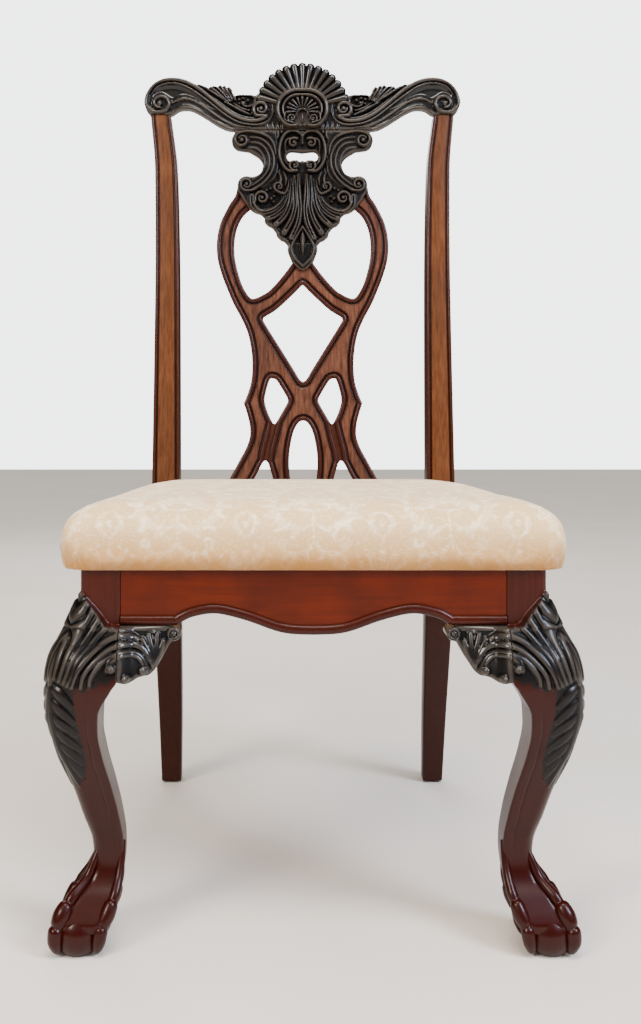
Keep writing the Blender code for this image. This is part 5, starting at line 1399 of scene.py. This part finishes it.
CORNER_TALON = (
    # out and ahead, height, radius
    (-20, 106, 2.5), (-14.5, 92, 4.2), (-7.5, 75, 5), (6.5, 59.5, 6.4), (10, 54.6, 6), (12.5, 51.2, 8.8),
    (16.5, 43.5, 10.2), (19.6, 36, 9.2), (21, 31.6, 7.4), (22.4, 27.6, 8.9), (23, 19, 8.6), (21.5, 10, 6.4),
    (19.5, 4.6, 3.6),
)
BACK_TALON = (
    (-41, 92, 3), (-40, 80, 5), (-38.5, 64, 6), (-37, 56, 5.8), (-36, 52.4, 7.6),
    (-33, 44, 8.8), (-29.5, 36, 8.4), (-28, 31.6, 6.9), (-26.5, 27.4, 8), (-25, 19, 7.8),
    (-22.5, 10, 6), (-20.5, 4.6, 3.4),
)
INNER_TALON = (
    # out, ahead, height, radius
    (-46, -20, 112, 2.5), (-44.5, -15, 94, 4.2), (-42.6, -7, 76, 5), (-39.6, 3.5, 61, 6),
    (-37.6, 7, 55.6, 5.6), (-36, 9.4, 52.2, 7.8), (-32.5, 13.5, 43.5, 8.8), (-29, 17, 36, 8.2),
    (-27.6, 18.8, 31.6, 6.7), (-26, 20.4, 27.4, 8), (-24.5, 21.5, 19, 7.8), (-22.5, 20.5, 10, 6),
    (-20.5, 19, 4.6, 3.4),
)
TALONS = (
    [(out, out, *rest) for out, *rest in CORNER_TALON],
    INNER_TALON,
    [(ahead, out, *rest) for out, ahead, *rest in INNER_TALON],
    [(out, out, *rest) for out, *rest in BACK_TALON],
)


def talon_skin(knots):
    """Jointed claw round a run of places and radii."""
    knots = np.array(knots)
    shares = np.linspace(0, 1, len(knots))
    rows = table_column(np.column_stack([shares, knots]), np.linspace(0, 1, 84))
    path = rows[:, :3]
    along = np.gradient(path, axis=0)
    along /= np.linalg.norm(along, axis=1)[:, None]
    angles = np.linspace(0, 2 * math.pi, 26, endpoint=False)
    u = np.array((1.0, 1.0, 0.3))
    rings = []
    for centre, way, radius in zip(path, along, rows[:, 3]):
        u -= (u @ way) * way
        u /= np.linalg.norm(u)
        ring = centre + radius * (np.cos(angles)[:, None] * u + np.sin(angles)[:, None] * np.cross(way, u))
        ring[:, 2] = np.maximum(ring[:, 2], FOOT_BOTTOM / MM)
        rings.append(ring)
    return lofted(rings)


BALL_RADIUS = 28


def ball_skin():
    """Ball under the claws, flat where it stands."""
    centre = np.array((0.5, 2.5, FOOT_BOTTOM / MM + 16.5))
    rings = []
    for tilt in np.linspace(-1.45, 1.45, 36):
        angles = np.linspace(0, 2 * math.pi, 64, endpoint=False)
        flat = BALL_RADIUS * math.cos(tilt)
        rise = np.full(64, BALL_RADIUS * math.sin(tilt))
        ring = centre + np.column_stack([flat * np.cos(angles), flat * np.sin(angles), rise])
        ring[:, 2] = np.maximum(ring[:, 2], FOOT_BOTTOM / MM)
        rings.append(ring)
    return lofted(rings)


class CHAIR_OT_front_legs(bpy.types.Operator):
    """Carve the cabriole front legs: knee with its leaf tail, plain shin, and a claw gripping a ball"""
    bl_idname = "chair.front_legs"
    bl_label = "Front Legs"

    def execute(self, context):
        rings, dark = leg_skin()
        points, faces = merged(lofted(rings), ball_skin(), *map(talon_skin, TALONS))
        shade = np.concatenate([dark, np.zeros(len(points) - len(dark))])
        for name, side in SIDES:
            places = np.column_stack([side * (BLOCK_X + points[:, 0] * MM), -(BLOCK_Y + points[:, 1] * MM),
                points[:, 2] * MM])
            mesh = mesh_from(places, faces, turn_out=False)
            note(mesh, "dark", shade)
            turn_outward(mesh)
            note_hollows(mesh, 9, 0.0007)
            carved = numbers_of(mesh, "dark")
            height = places_of(mesh)[:, 2]
            low = 1 - step_up(0.288, 0.3, height)
            note(mesh, "relief", 0.5 + (numbers_of(mesh, "relief") * (1 - 0.5 * low) - 0.5) * carved)
            note(mesh, "deep", 0.85 * (1 - step_up(0.28, 0.36, height)))
            new_piece(f"{name}_front_leg", mesh, finish("leg_mahogany"), [f"{name}_front_leg"])
        return {"FINISHED"}


# Knee brackets and apron bead

BRACKET_START = -45.05
BRACKET_LENGTH = 66.5
BRACKET_TOP = 356.7
BRACKET_BACK = -24
BRACKET_SHAPE = (
    # share of the length from the leg, drop of the lower edge, bulge of the lower edge, bulge of the top
    (0.00, 58, 33, 4),
    (0.25, 56, 26, 3),
    (0.50, 50, 17, 2),
    (0.75, 33, 8, 1),
    (1.00, 18, 3, 0),
)
SIDE_TAPER = 0.0903


def bracket_outline(step):
    """Front view of a bracket: (offset in from the block's corner, height)."""
    x, height, radius = ROLL
    end = arc((x, height), radius, 82, 262, 20)
    top = [(BRACKET_START, BRACKET_TOP), (-96, BRACKET_TOP)]
    lower = [end[-1], (-100.4, 338), (-93, 324.6), (-84.4, 311.4), (-78, 306.2), (-72, 305.6), (-66.4, 304.4),
        (-61, 301.6), (-55, 300), (-49.6, 301.2), (BRACKET_START, 302.4)]
    return outline(step, top, [top[-1], end[0]], end, lower, [lower[-1], top[0]])


def bracket_heights(points):
    """How far a bracket's carved face stands ahead of the block's face."""
    x, height = points.T
    share = np.clip((BRACKET_START - x) / BRACKET_LENGTH, 0, 1)
    drop, low, top = table_column(BRACKET_SHAPE, share).T
    v = np.clip((BRACKET_TOP - height) / drop, 0, 1)
    bulge = top + (low - top) * (1.8 * v - 0.8 * v ** 2)
    leaf = track(LEAF_RISE, height) * leaf_share(np.column_stack([np.full(len(x), -45.0), height]))
    knee = np.maximum(track(LEG_PROFILE, height), leaf)
    bulge = bulge + (knee - bulge) * (1 - step_up(0, 17, BRACKET_START - x))
    relief = knee_carving(points)
    fillet = step_up(351, 353, height) * step_up(-46, -52, x) * step_up(-99, -94, x)
    relief = relief * (1 - fillet) + fillet
    ground = bulge + relief * step_up(BRACKET_TOP + 0.5, BRACKET_TOP - 2, height)
    away = np.hypot(x - ROLL[0], height - ROLL[1])
    roll = 6 - 1.4 * (1 - np.sqrt(np.clip(1 - (away / ROLL[2]) ** 2, 0, 1)))
    return np.where(away < ROLL[2], np.maximum(roll, ground), ground)


def bracket_roll(points):
    """Spiral groove wound into the bracket's end."""
    cut = Carving(points, 0)
    cut.groove(spiral(ROLL[:2], 6.2, 200, 560, 1.6), 1, 1.3)
    cut.dome(ROLL[:2], 2, 0, 0.7)
    return cut.height


class CHAIR_OT_knee_brackets(bpy.types.Operator):
    """Carve the brackets from the knees to the front apron and to the side rails"""
    bl_idname = "chair.knee_brackets"
    bl_label = "Knee Brackets"

    def execute(self, context):
        step = sizes().carving_step / MM * 0.8
        edge = bracket_outline(step)
        tree = edge_tree([edge])
        field = panel_field([edge], tree, step, clear=0.55)

        def heights(points):
            rounded = -1.2 * np.clip(1 - edge_gap(points, tree) / 1.6, 0, 1) ** 2
            return bracket_heights(points) + bracket_roll(points) + rounded * (points[:, 1] < BRACKET_TOP - 2)

        for name, side in SIDES:
            for along_side in (False, True):

                def place(points, ahead):
                    across = points[:, 0]
                    if along_side:
                        out, forward = ahead - SIDE_TAPER * (BRACKET_START - across), across
                    else:
                        out, forward = across, ahead
                    return np.column_stack([side * (BLOCK_X + out * MM), -(BLOCK_Y + forward * MM), points[:, 1] * MM])

                mesh = mesh_from(*carved_panel([edge], field, heights, BRACKET_BACK, place))
                note_hollows(mesh, 14, 0.0007)
                carved_piece(f"{name}_{'side' if along_side else 'front'}_bracket", mesh)
        return {"FINISHED"}


APRON_EDGE = ((0, -0.011), (0.034, -0.0085), (0.074, 0.005), (0.108, 0.0126), (0.136, 0.0085), (0.153, 0))
APRON_END = 0.2136
APRON_FRONT_Y = -(BLOCK_Y - 0.001)
BEAD_HEIGHT, BEAD_DEPTH, BEAD_PROUD = 0.0112, 0.016, 0.0052


class CHAIR_OT_apron_bead(bpy.types.Operator):
    """Run a round bead along the apron's waved lower edge"""
    bl_idname = "chair.apron_bead"
    bl_label = "Apron Bead"

    def execute(self, context):
        wave = smooth_run(np.array(APRON_EDGE), 0.002)
        half = np.vstack([wave, np.column_stack([np.linspace(0.155, APRON_END, 24), np.zeros(24)])])
        full = np.vstack([(half * (-1, 1))[:0:-1], half])
        y = APRON_FRONT_Y - BEAD_PROUD + BEAD_DEPTH / 2
        line = bpy.data.meshes.new("bead_line")
        line.from_pydata([(x, y, RAIL_BOTTOM + rise + BEAD_HEIGHT / 2) for x, rise in full],
            [(i, i + 1) for i in range(len(full) - 1)], [])
        tree, given = node_group("bead_along_line", {"Line": "Geometry", "Depth": "Float", "Height": "Float",
            "Rounding": "Float", "Finish": "Material"}, "Bead")
        add = partial(add_node, tree)
        path = add("GeometryNodeMeshToCurve", {"Mesh": given["Line"]})
        upright = add("GeometryNodeSetCurveNormal", {"Curve": path}, mode="Z_UP")
        bar = add("GeometryNodeCurvePrimitiveQuadrilateral", {"Width": given["Depth"], "Height": given["Height"]})
        eased = add("GeometryNodeFilletCurve", {"Curve": bar, "Radius": given["Rounding"], "Count": 7}, mode="POLY")
        swept = add("GeometryNodeCurveToMesh", {"Curve": upright, "Profile Curve": eased, "Fill Caps": True})
        real = add("GeometryNodeRealizeInstances", {"Geometry": swept})
        add("NodeGroupOutput", {0: add("GeometryNodeSetMaterial", {"Geometry": real, "Material": given["Finish"]})})
        wood = finish("side_rail_mahogany")
        mesh = grown_mesh(line, tree, {"Depth": BEAD_DEPTH, "Height": BEAD_HEIGHT, "Rounding": BEAD_HEIGHT * 0.49,
            "Finish": wood})
        turn_outward(mesh)
        new_piece("apron_bead", mesh, wood, ["apron_bead"])
        return {"FINISHED"}


# Seat

SEAT_FRONT = 0.273
SEAT_REAR = 0.166
SEAT_FRONT_HALF = 0.2905
SEAT_REAR_HALF = 0.224
SEAT_CORNER = 0.036
SEAT_PROFILE = (
    # height above the rails, inset from the widest outline
    (0.0005, 0.007), (0.012, 0.0018), (0.029, 0.0), (0.045, 0.0016), (0.055, 0.0056), (0.0625, 0.013), (0.0682, 0.027),
    (0.0715, 0.056), (0.0728, 0.098), (0.0732, 0.15),
)
SEAT_VOXEL = 0.005
SWELL_LIMIT = 0.003
REAR_DROP = 0.13
COVER_CLOTH = {
    "quality": 4, "mass": 0.3, "tension_stiffness": 30.0, "compression_stiffness": 30.0, "shear_stiffness": 10.0,
    "bending_stiffness": 1.0, "use_pressure": True, "uniform_pressure_force": 4.0, "vertex_group_mass": "held",
}


def seat_half(y):
    return SEAT_FRONT_HALF - (SEAT_FRONT_HALF - SEAT_REAR_HALF) * (y + SEAT_FRONT) / (SEAT_REAR + SEAT_FRONT)


def seat_ring(inset, height):
    """Ring round the seat at an inset, with rounded corners, in metres."""
    front, rear = -SEAT_FRONT + inset, SEAT_REAR - inset
    corners = np.array([(-seat_half(front) + inset, front), (seat_half(front) - inset, front),
        (seat_half(rear) - inset, rear), (-seat_half(rear) + inset, rear)])
    radius = max(SEAT_CORNER - inset * 0.5, SEAT_CORNER * 0.35)
    turn, run = np.linspace(0, 1, 12)[:, None], np.linspace(0, 1, 24)[1:-1, None]

    def eased(corner, other):
        return corner + (other - corner) / np.linalg.norm(other - corner) * radius

    ring = []
    for i, corner in enumerate(corners):
        after = corners[(i + 1) % 4]
        start, end = eased(corner, corners[i - 1]), eased(corner, after)
        ring.append(start * (1 - turn) ** 2 + 2 * corner * turn * (1 - turn) + end * turn ** 2)
        ring.append(end * (1 - run) + eased(after, corner) * run)
    ring = np.vstack(ring)
    return np.column_stack([ring, np.full(len(ring), RAIL_TOP + height)])


def swollen_pad(mesh):
    """Blows the cover up a little with cloth simulation, its underside held, and caps how far each point may go."""
    scene = bpy.context.scene
    pad = new_object("seat_pad", mesh)
    before = places_of(mesh)
    held = pad.vertex_groups.new(name="held")
    held.add([int(i) for i in np.flatnonzero(before[:, 2] < RAIL_TOP + 0.007)], 1.0, "REPLACE")
    cloth = pad.modifiers.new("cloth", "CLOTH")
    for key, value in COVER_CLOTH.items():
        setattr(cloth.settings, key, value)
    cloth.settings.effector_weights.gravity = 0.0
    cloth.collision_settings.use_collision = False
    cloth.point_cache.frame_start, cloth.point_cache.frame_end = 1, 20
    for step in range(1, 21):
        scene.frame_set(step)
    swollen = evaluated_mesh(pad)
    scene.frame_set(1)
    bpy.data.objects.remove(pad)
    move = places_of(swollen) - before
    reach = np.linalg.norm(move, axis=1)
    capped = np.where(reach > 1e-9, np.minimum(reach, SWELL_LIMIT) / np.maximum(reach, 1e-9), 0.0)
    move_points(swollen, before + move * capped[:, None])
    return swollen


def with_modifier(mesh, kind, **settings):
    """The mesh after one modifier."""
    holder = new_object("holder", mesh)
    modifier = holder.modifiers.new("step", kind)
    for key, value in settings.items():
        setattr(modifier, key, value)
    made = evaluated_mesh(holder)
    bpy.data.objects.remove(holder)
    return made


def unrolled(place, normal):
    """Where each point lies on the flat cloth, in metres: the top as it is, the sides laid out round it."""
    fine = np.linspace(SEAT_PROFILE[0][0], SEAT_PROFILE[-1][0], 200)
    inset = track(SEAT_PROFILE, fine)
    lengths = np.hypot(np.diff(fine), np.diff(inset)) - np.diff(inset)
    spare = np.concatenate([np.cumsum(lengths[::-1])[::-1], [0.0]])
    extra = np.interp(place[:, 2] - RAIL_TOP, fine, spare)
    flat = normal[:, :2] / np.maximum(np.linalg.norm(normal[:, :2], axis=1), 1e-6)[:, None]
    return place[:, :2] + flat * extra[:, None]


def damask_motif(points):
    """One repeat's figure over points in millimetres from its middle: palmette, scrolling leaves and an ogee."""
    strokes = [
        # half-width, ends, line
        (3.0, (1, 0.6), [(0, -9), (12, -7), (21, 0), (30, 3)]),
        (2.2, (1, 1), spiral((30, -4), 7.0, 90, -470, 1.6)),
        (2.2, (1, 1), [(0, -14), (0, -52)]),
        (6.0, (0.25, 0.25), [(0, -30), (15, -37), (31, -31), (43, -14), (45, 8), (38, 24)]),
        (3.6, (0.5, 0.7), [(0, -52), (9, -64), (24, -68), (35, -60)]),
        (2.2, (1, 1), spiral((33, -53), 7.0, 270, 430, 1.8)),
        (3.6, (0.4, 0.4), [(0, 52), (9, 62), (12, 74), (6, 84), (0, 88)]),
    ]
    for angle, reach in ((0, 36), (24, 35), (48, 32), (72, 27)):
        way = np.array((math.sin(math.radians(angle)), math.cos(math.radians(angle))))
        strokes.append((5.2, (0.35, 0.85), [way * 9, way * (9 + reach) / 2, way * reach]))
    outer = (((17, -36), (24, -48)), ((30, -31), (43, -39)), ((40, -18), (55, -20)), ((45, 0), (59, 5)),
        ((43, 16), (54, 26)))
    lower = (((8, -63), (6, -76)), ((18, -68), (20, -80)), ((28, -66), (35, -76)))
    for width, ends, drop, leaves in ((4.2, (0.7, 0.4), 1.5, outer), (3.4, (0.8, 0.4), 0.0, lower)):
        for root, tip in leaves:
            middle = ((root[0] + tip[0]) / 2 + 1.5, (root[1] + tip[1]) / 2 - drop)
            strokes.append((width, ends, [root, middle, tip]))
    cut = Carving(folded(points), 0.0)
    for width, ends, line in strokes:
        cut.ridge(line, width, 0.0, 1.0, ends)
    for spot in ((0, 46), (10, 43), (19, 38), (26, 30)):
        cut.dome(spot, 2.6, 0.0, 1.0)
    cut.dome((0, 70), 4.6, 0.0, 1.0)
    return cut.height


def damask_figure(flat):
    """Share of satin figure at each place on the flat cloth, as a half-drop repeat."""
    across = sizes().repeat / MM
    up = across * 4 / 3
    figure = np.zeros(len(flat))
    for shift in ((0.0, 0.0), (across / 2, up / 2)):
        tile = flat / MM + (0.0, 40.0) - shift
        tile = np.column_stack([(tile[:, 0] + across / 2) % across - across / 2, (tile[:, 1] + up / 2) % up - up / 2])
        figure = np.maximum(figure, damask_motif(tile * 150.0 / across))
    return step_up(0.05, 0.75, figure)


class CHAIR_OT_seat_cushion(bpy.types.Operator):
    """Stuff the crowned seat in cream damask, drawn in at its lower edge and pleated at the front corners"""
    bl_idname = "chair.seat_cushion"
    bl_label = "Seat Cushion"

    def execute(self, context):
        fine = np.linspace(SEAT_PROFILE[0][0], SEAT_PROFILE[-1][0], 400)
        inset = track(SEAT_PROFILE, fine)
        along = np.concatenate([[0.0], np.cumsum(np.hypot(np.diff(fine), np.diff(inset)))])
        even = np.linspace(0, along[-1], 56)
        rings = [seat_ring(0.024, SEAT_PROFILE[0][0])]
        rings += [seat_ring(a, h) for a, h in zip(np.interp(even, along, inset), np.interp(even, along, fine))]
        mesh = with_modifier(mesh_from(*lofted(rings)), "REMESH", mode="VOXEL", voxel_size=SEAT_VOXEL)
        held = (places_of(mesh)[:, 2:] < RAIL_TOP + 0.004).astype(float)
        move_points(mesh, evened(mesh, 6, held))
        mesh = swollen_pad(mesh)
        move_points(mesh, evened(mesh, 2, held))
        mesh = with_modifier(mesh, "SUBSURF", levels=1, render_levels=1)
        place, normal = places_of(mesh), places_of(mesh, "normal")
        place[:, 2] -= REAR_DROP * (place[:, 2] - RAIL_TOP) * step_up(-0.05, SEAT_REAR, place[:, 1])
        low = 1 - step_up(0.002, 0.034, place[:, 2] - RAIL_TOP)
        sides = np.clip(np.linalg.norm(normal[:, :2], axis=1) * 1.4 - 0.2, 0, 1)
        fold = np.zeros(len(place))
        for side in (-1, 1):
            turn = np.degrees(np.arctan2(-(place[:, 1] + SEAT_FRONT - 0.05),
                side * place[:, 0] - SEAT_FRONT_HALF + 0.05))
            for angle, depth in ((22, 0.9), (38, 1.4), (52, 1.2), (67, 0.8)):
                fold -= depth * np.clip(1 - ((turn - angle) / 5.0) ** 2, 0, 1) ** 2
        ripple = 0.35 * np.sin(place[:, 0] * 71.0 + 0.8) + 0.25 * np.sin(place[:, 0] * 167.0 + place[:, 1] * 59.0)
        place += normal * ((fold + ripple) * low * sides * MM)[:, None]
        move_points(mesh, place)
        flat = unrolled(place, normal)
        note(mesh, "figure", damask_figure(flat))
        front = np.clip(-normal[:, 1] * 1.3, 0, 1)
        # Painted warm bounce light: the golden share falls off with height above the rails and is strongest on
        # front-facing cloth
        note(mesh, "toned", (1 - step_up(0.0, 0.052, place[:, 2] - RAIL_TOP)) * (0.55 + 0.45 * front))
        layer = mesh.uv_layers.new(name="cloth")
        corners = np.empty(len(mesh.loops), np.int32)
        mesh.loops.foreach_get("vertex_index", corners)
        layer.data.foreach_set("uv", flat[corners].astype(np.float32).ravel())
        cushion = new_piece("seat_cushion", mesh, finish("cotton_damask"), ["seat_cover", "seat_foam"],
            sharp=180.0)
        return {"FINISHED"}


# Plain pieces and stage

KEPT = {
    "apron_mahogany": ("front_apron",),
    "rail_mahogany": ("splat_shoe", "rear_seat_rail"),
    "side_rail_mahogany": ("left_side_rail", "right_side_rail"),
    "beech_block": ("front_left_block", "front_right_block", "rear_left_block", "rear_right_block"),
    "poplar_plywood": ("seat_board",),
    "black_cambric": ("dust_cover",),
    "dark_nylon": ("front_left_glide", "front_right_glide", "rear_left_glide", "rear_right_glide"),
}


class CHAIR_OT_plain_pieces(bpy.types.Operator):
    """Give the rails, blocks, screws, board, dust cover and glides of the frame their finishes"""
    bl_idname = "chair.plain_pieces"
    bl_label = "Plain Pieces"

    def execute(self, context):
        wanted = {node: name for name, nodes in KEPT.items() for node in nodes}
        for node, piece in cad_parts.items():
            name = "zinc_plated_steel" if node.endswith("_screw") else wanted.get(node)
            if name:
                for slot in piece.material_slots:
                    slot.material = finish(name)
        return {"FINISHED"}


CAMERA_PLACE = (-0.045, -1.558, 0.6395)
CAMERA_LENS = {"lens": 41.31, "sensor_width": 36.0, "shift_x": 0.0464, "shift_y": -0.1387}
LIGHTS = (
    # name, place, aims at, size across, size up, watts, colour
    ("window", (2.1, -1.7, 2.3), (0, 0, 0.55), 1, 1.4, 170, "#D8E6FF"),
    ("key", (-1.9, -2.2, 2.1), (0, 0, 0.65), 1, 1, 100, "#FFF6EA"),
    ("above", (0.1, -0.9, 2.7), (0, -0.05, 0.5), 1.2, 0.6, 60, "#FFF8EC"),
    ("rear", (-0.6, 2.4, 2), (0, 0, 0.5), 2, 1.4, 40, "#FFFFFF"),
)
CEILING = (3.4, 120, (0.15, -0.45, 1))  # strength, spread in degrees, where it shines from
ROOM_GLOW, ROOM_SEEN = 0.06, 4.5  # strength of the room's light on the chair, and as the camera sees it


class CHAIR_OT_stage(bpy.types.Operator):
    """Set the camera, a plain pale floor and soft studio light"""
    bl_idname = "chair.stage"
    bl_label = "Stage"

    def execute(self, context):
        scene = context.scene
        lens = bpy.data.cameras.new("camera")
        for key, value in CAMERA_LENS.items():
            setattr(lens, key, value)
        camera = new_object("camera", lens)
        camera.location = CAMERA_PLACE
        camera.rotation_euler = (math.pi / 2, 0, 0)
        scene.camera = camera
        bm = bmesh.new()
        bmesh.ops.create_grid(bm, x_segments=8, y_segments=8, size=6.0)
        mesh = bpy.data.meshes.new("floor")
        bm.to_mesh(mesh)
        bm.free()
        mesh.materials.append(finish("pale_floor"))
        new_object("floor", mesh)
        for name, place, aim, across, up, watts, code in LIGHTS:
            lamp = bpy.data.lights.new(name, "AREA")
            lamp.shape = "RECTANGLE"
            lamp.size = across
            lamp.size_y = up
            lamp.energy = watts
            lamp.color = linear(code)[:3]
            holder = new_object(name, lamp)
            holder.location = place
            holder.rotation_euler = (Vector(aim) - Vector(place)).to_track_quat("-Z", "Y").to_euler()
        strength, spread, toward = CEILING
        lamp = bpy.data.lights.new("ceiling", "SUN")
        lamp.energy = strength
        lamp.angle = math.radians(spread)
        holder = new_object("ceiling", lamp)
        holder.visible_glossy = False
        holder.rotation_euler = Vector(toward).to_track_quat("Z", "Y").to_euler()
        world = bpy.data.worlds.new("pale_room")
        world.use_nodes = True
        tree = world.node_tree
        seen = add_node(tree, "LightPath").outputs["Is Camera Ray"]
        strength = add_node(tree, "MapRange", {"Value": seen, "To Min": ROOM_GLOW, "To Max": ROOM_SEEN})
        feed(tree, tree.nodes["Background"], {"Color": linear("#F4F6F8"), "Strength": strength})
        scene.world = world
        return {"FINISHED"}


class CHAIR_PT_panel(bpy.types.Panel):
    """Pieces of the chair, in the order they are made"""
    bl_idname = "CHAIR_PT_panel"
    bl_label = "Carved Chair"
    bl_space_type = "VIEW_3D"
    bl_region_type = "UI"
    bl_category = "Chair"

    def draw(self, context):
        for operator in OPERATORS:
            self.layout.operator(operator.bl_idname)
        for group in (context.scene.chair_sizes, context.scene.chair_colours):
            for name in group.bl_rna.properties.keys():
                if name not in {"rna_type", "name"}:
                    self.layout.prop(group, name)


OPERATORS = (
    CHAIR_OT_stage,
    CHAIR_OT_crest_rail,
    CHAIR_OT_crest_shell,
    CHAIR_OT_back_splat,
    CHAIR_OT_rear_posts,
    CHAIR_OT_front_legs,
    CHAIR_OT_knee_brackets,
    CHAIR_OT_apron_bead,
    CHAIR_OT_seat_cushion,
    CHAIR_OT_plain_pieces,
)
CLASSES = (ChairSizes, ChairColours, *OPERATORS, CHAIR_PT_panel)


def register():
    for item in CLASSES:
        bpy.utils.register_class(item)
    bpy.types.Scene.chair_sizes = bpy.props.PointerProperty(type=ChairSizes)
    bpy.types.Scene.chair_colours = bpy.props.PointerProperty(type=ChairColours)


def unregister():
    del bpy.types.Scene.chair_sizes
    del bpy.types.Scene.chair_colours
    for item in reversed(CLASSES):
        bpy.utils.unregister_class(item)


def main():
    register()
    for operator in OPERATORS:
        group, name = operator.bl_idname.split(".")
        getattr(getattr(bpy.ops, group), name)()


if __name__ == "__main__":
    main()
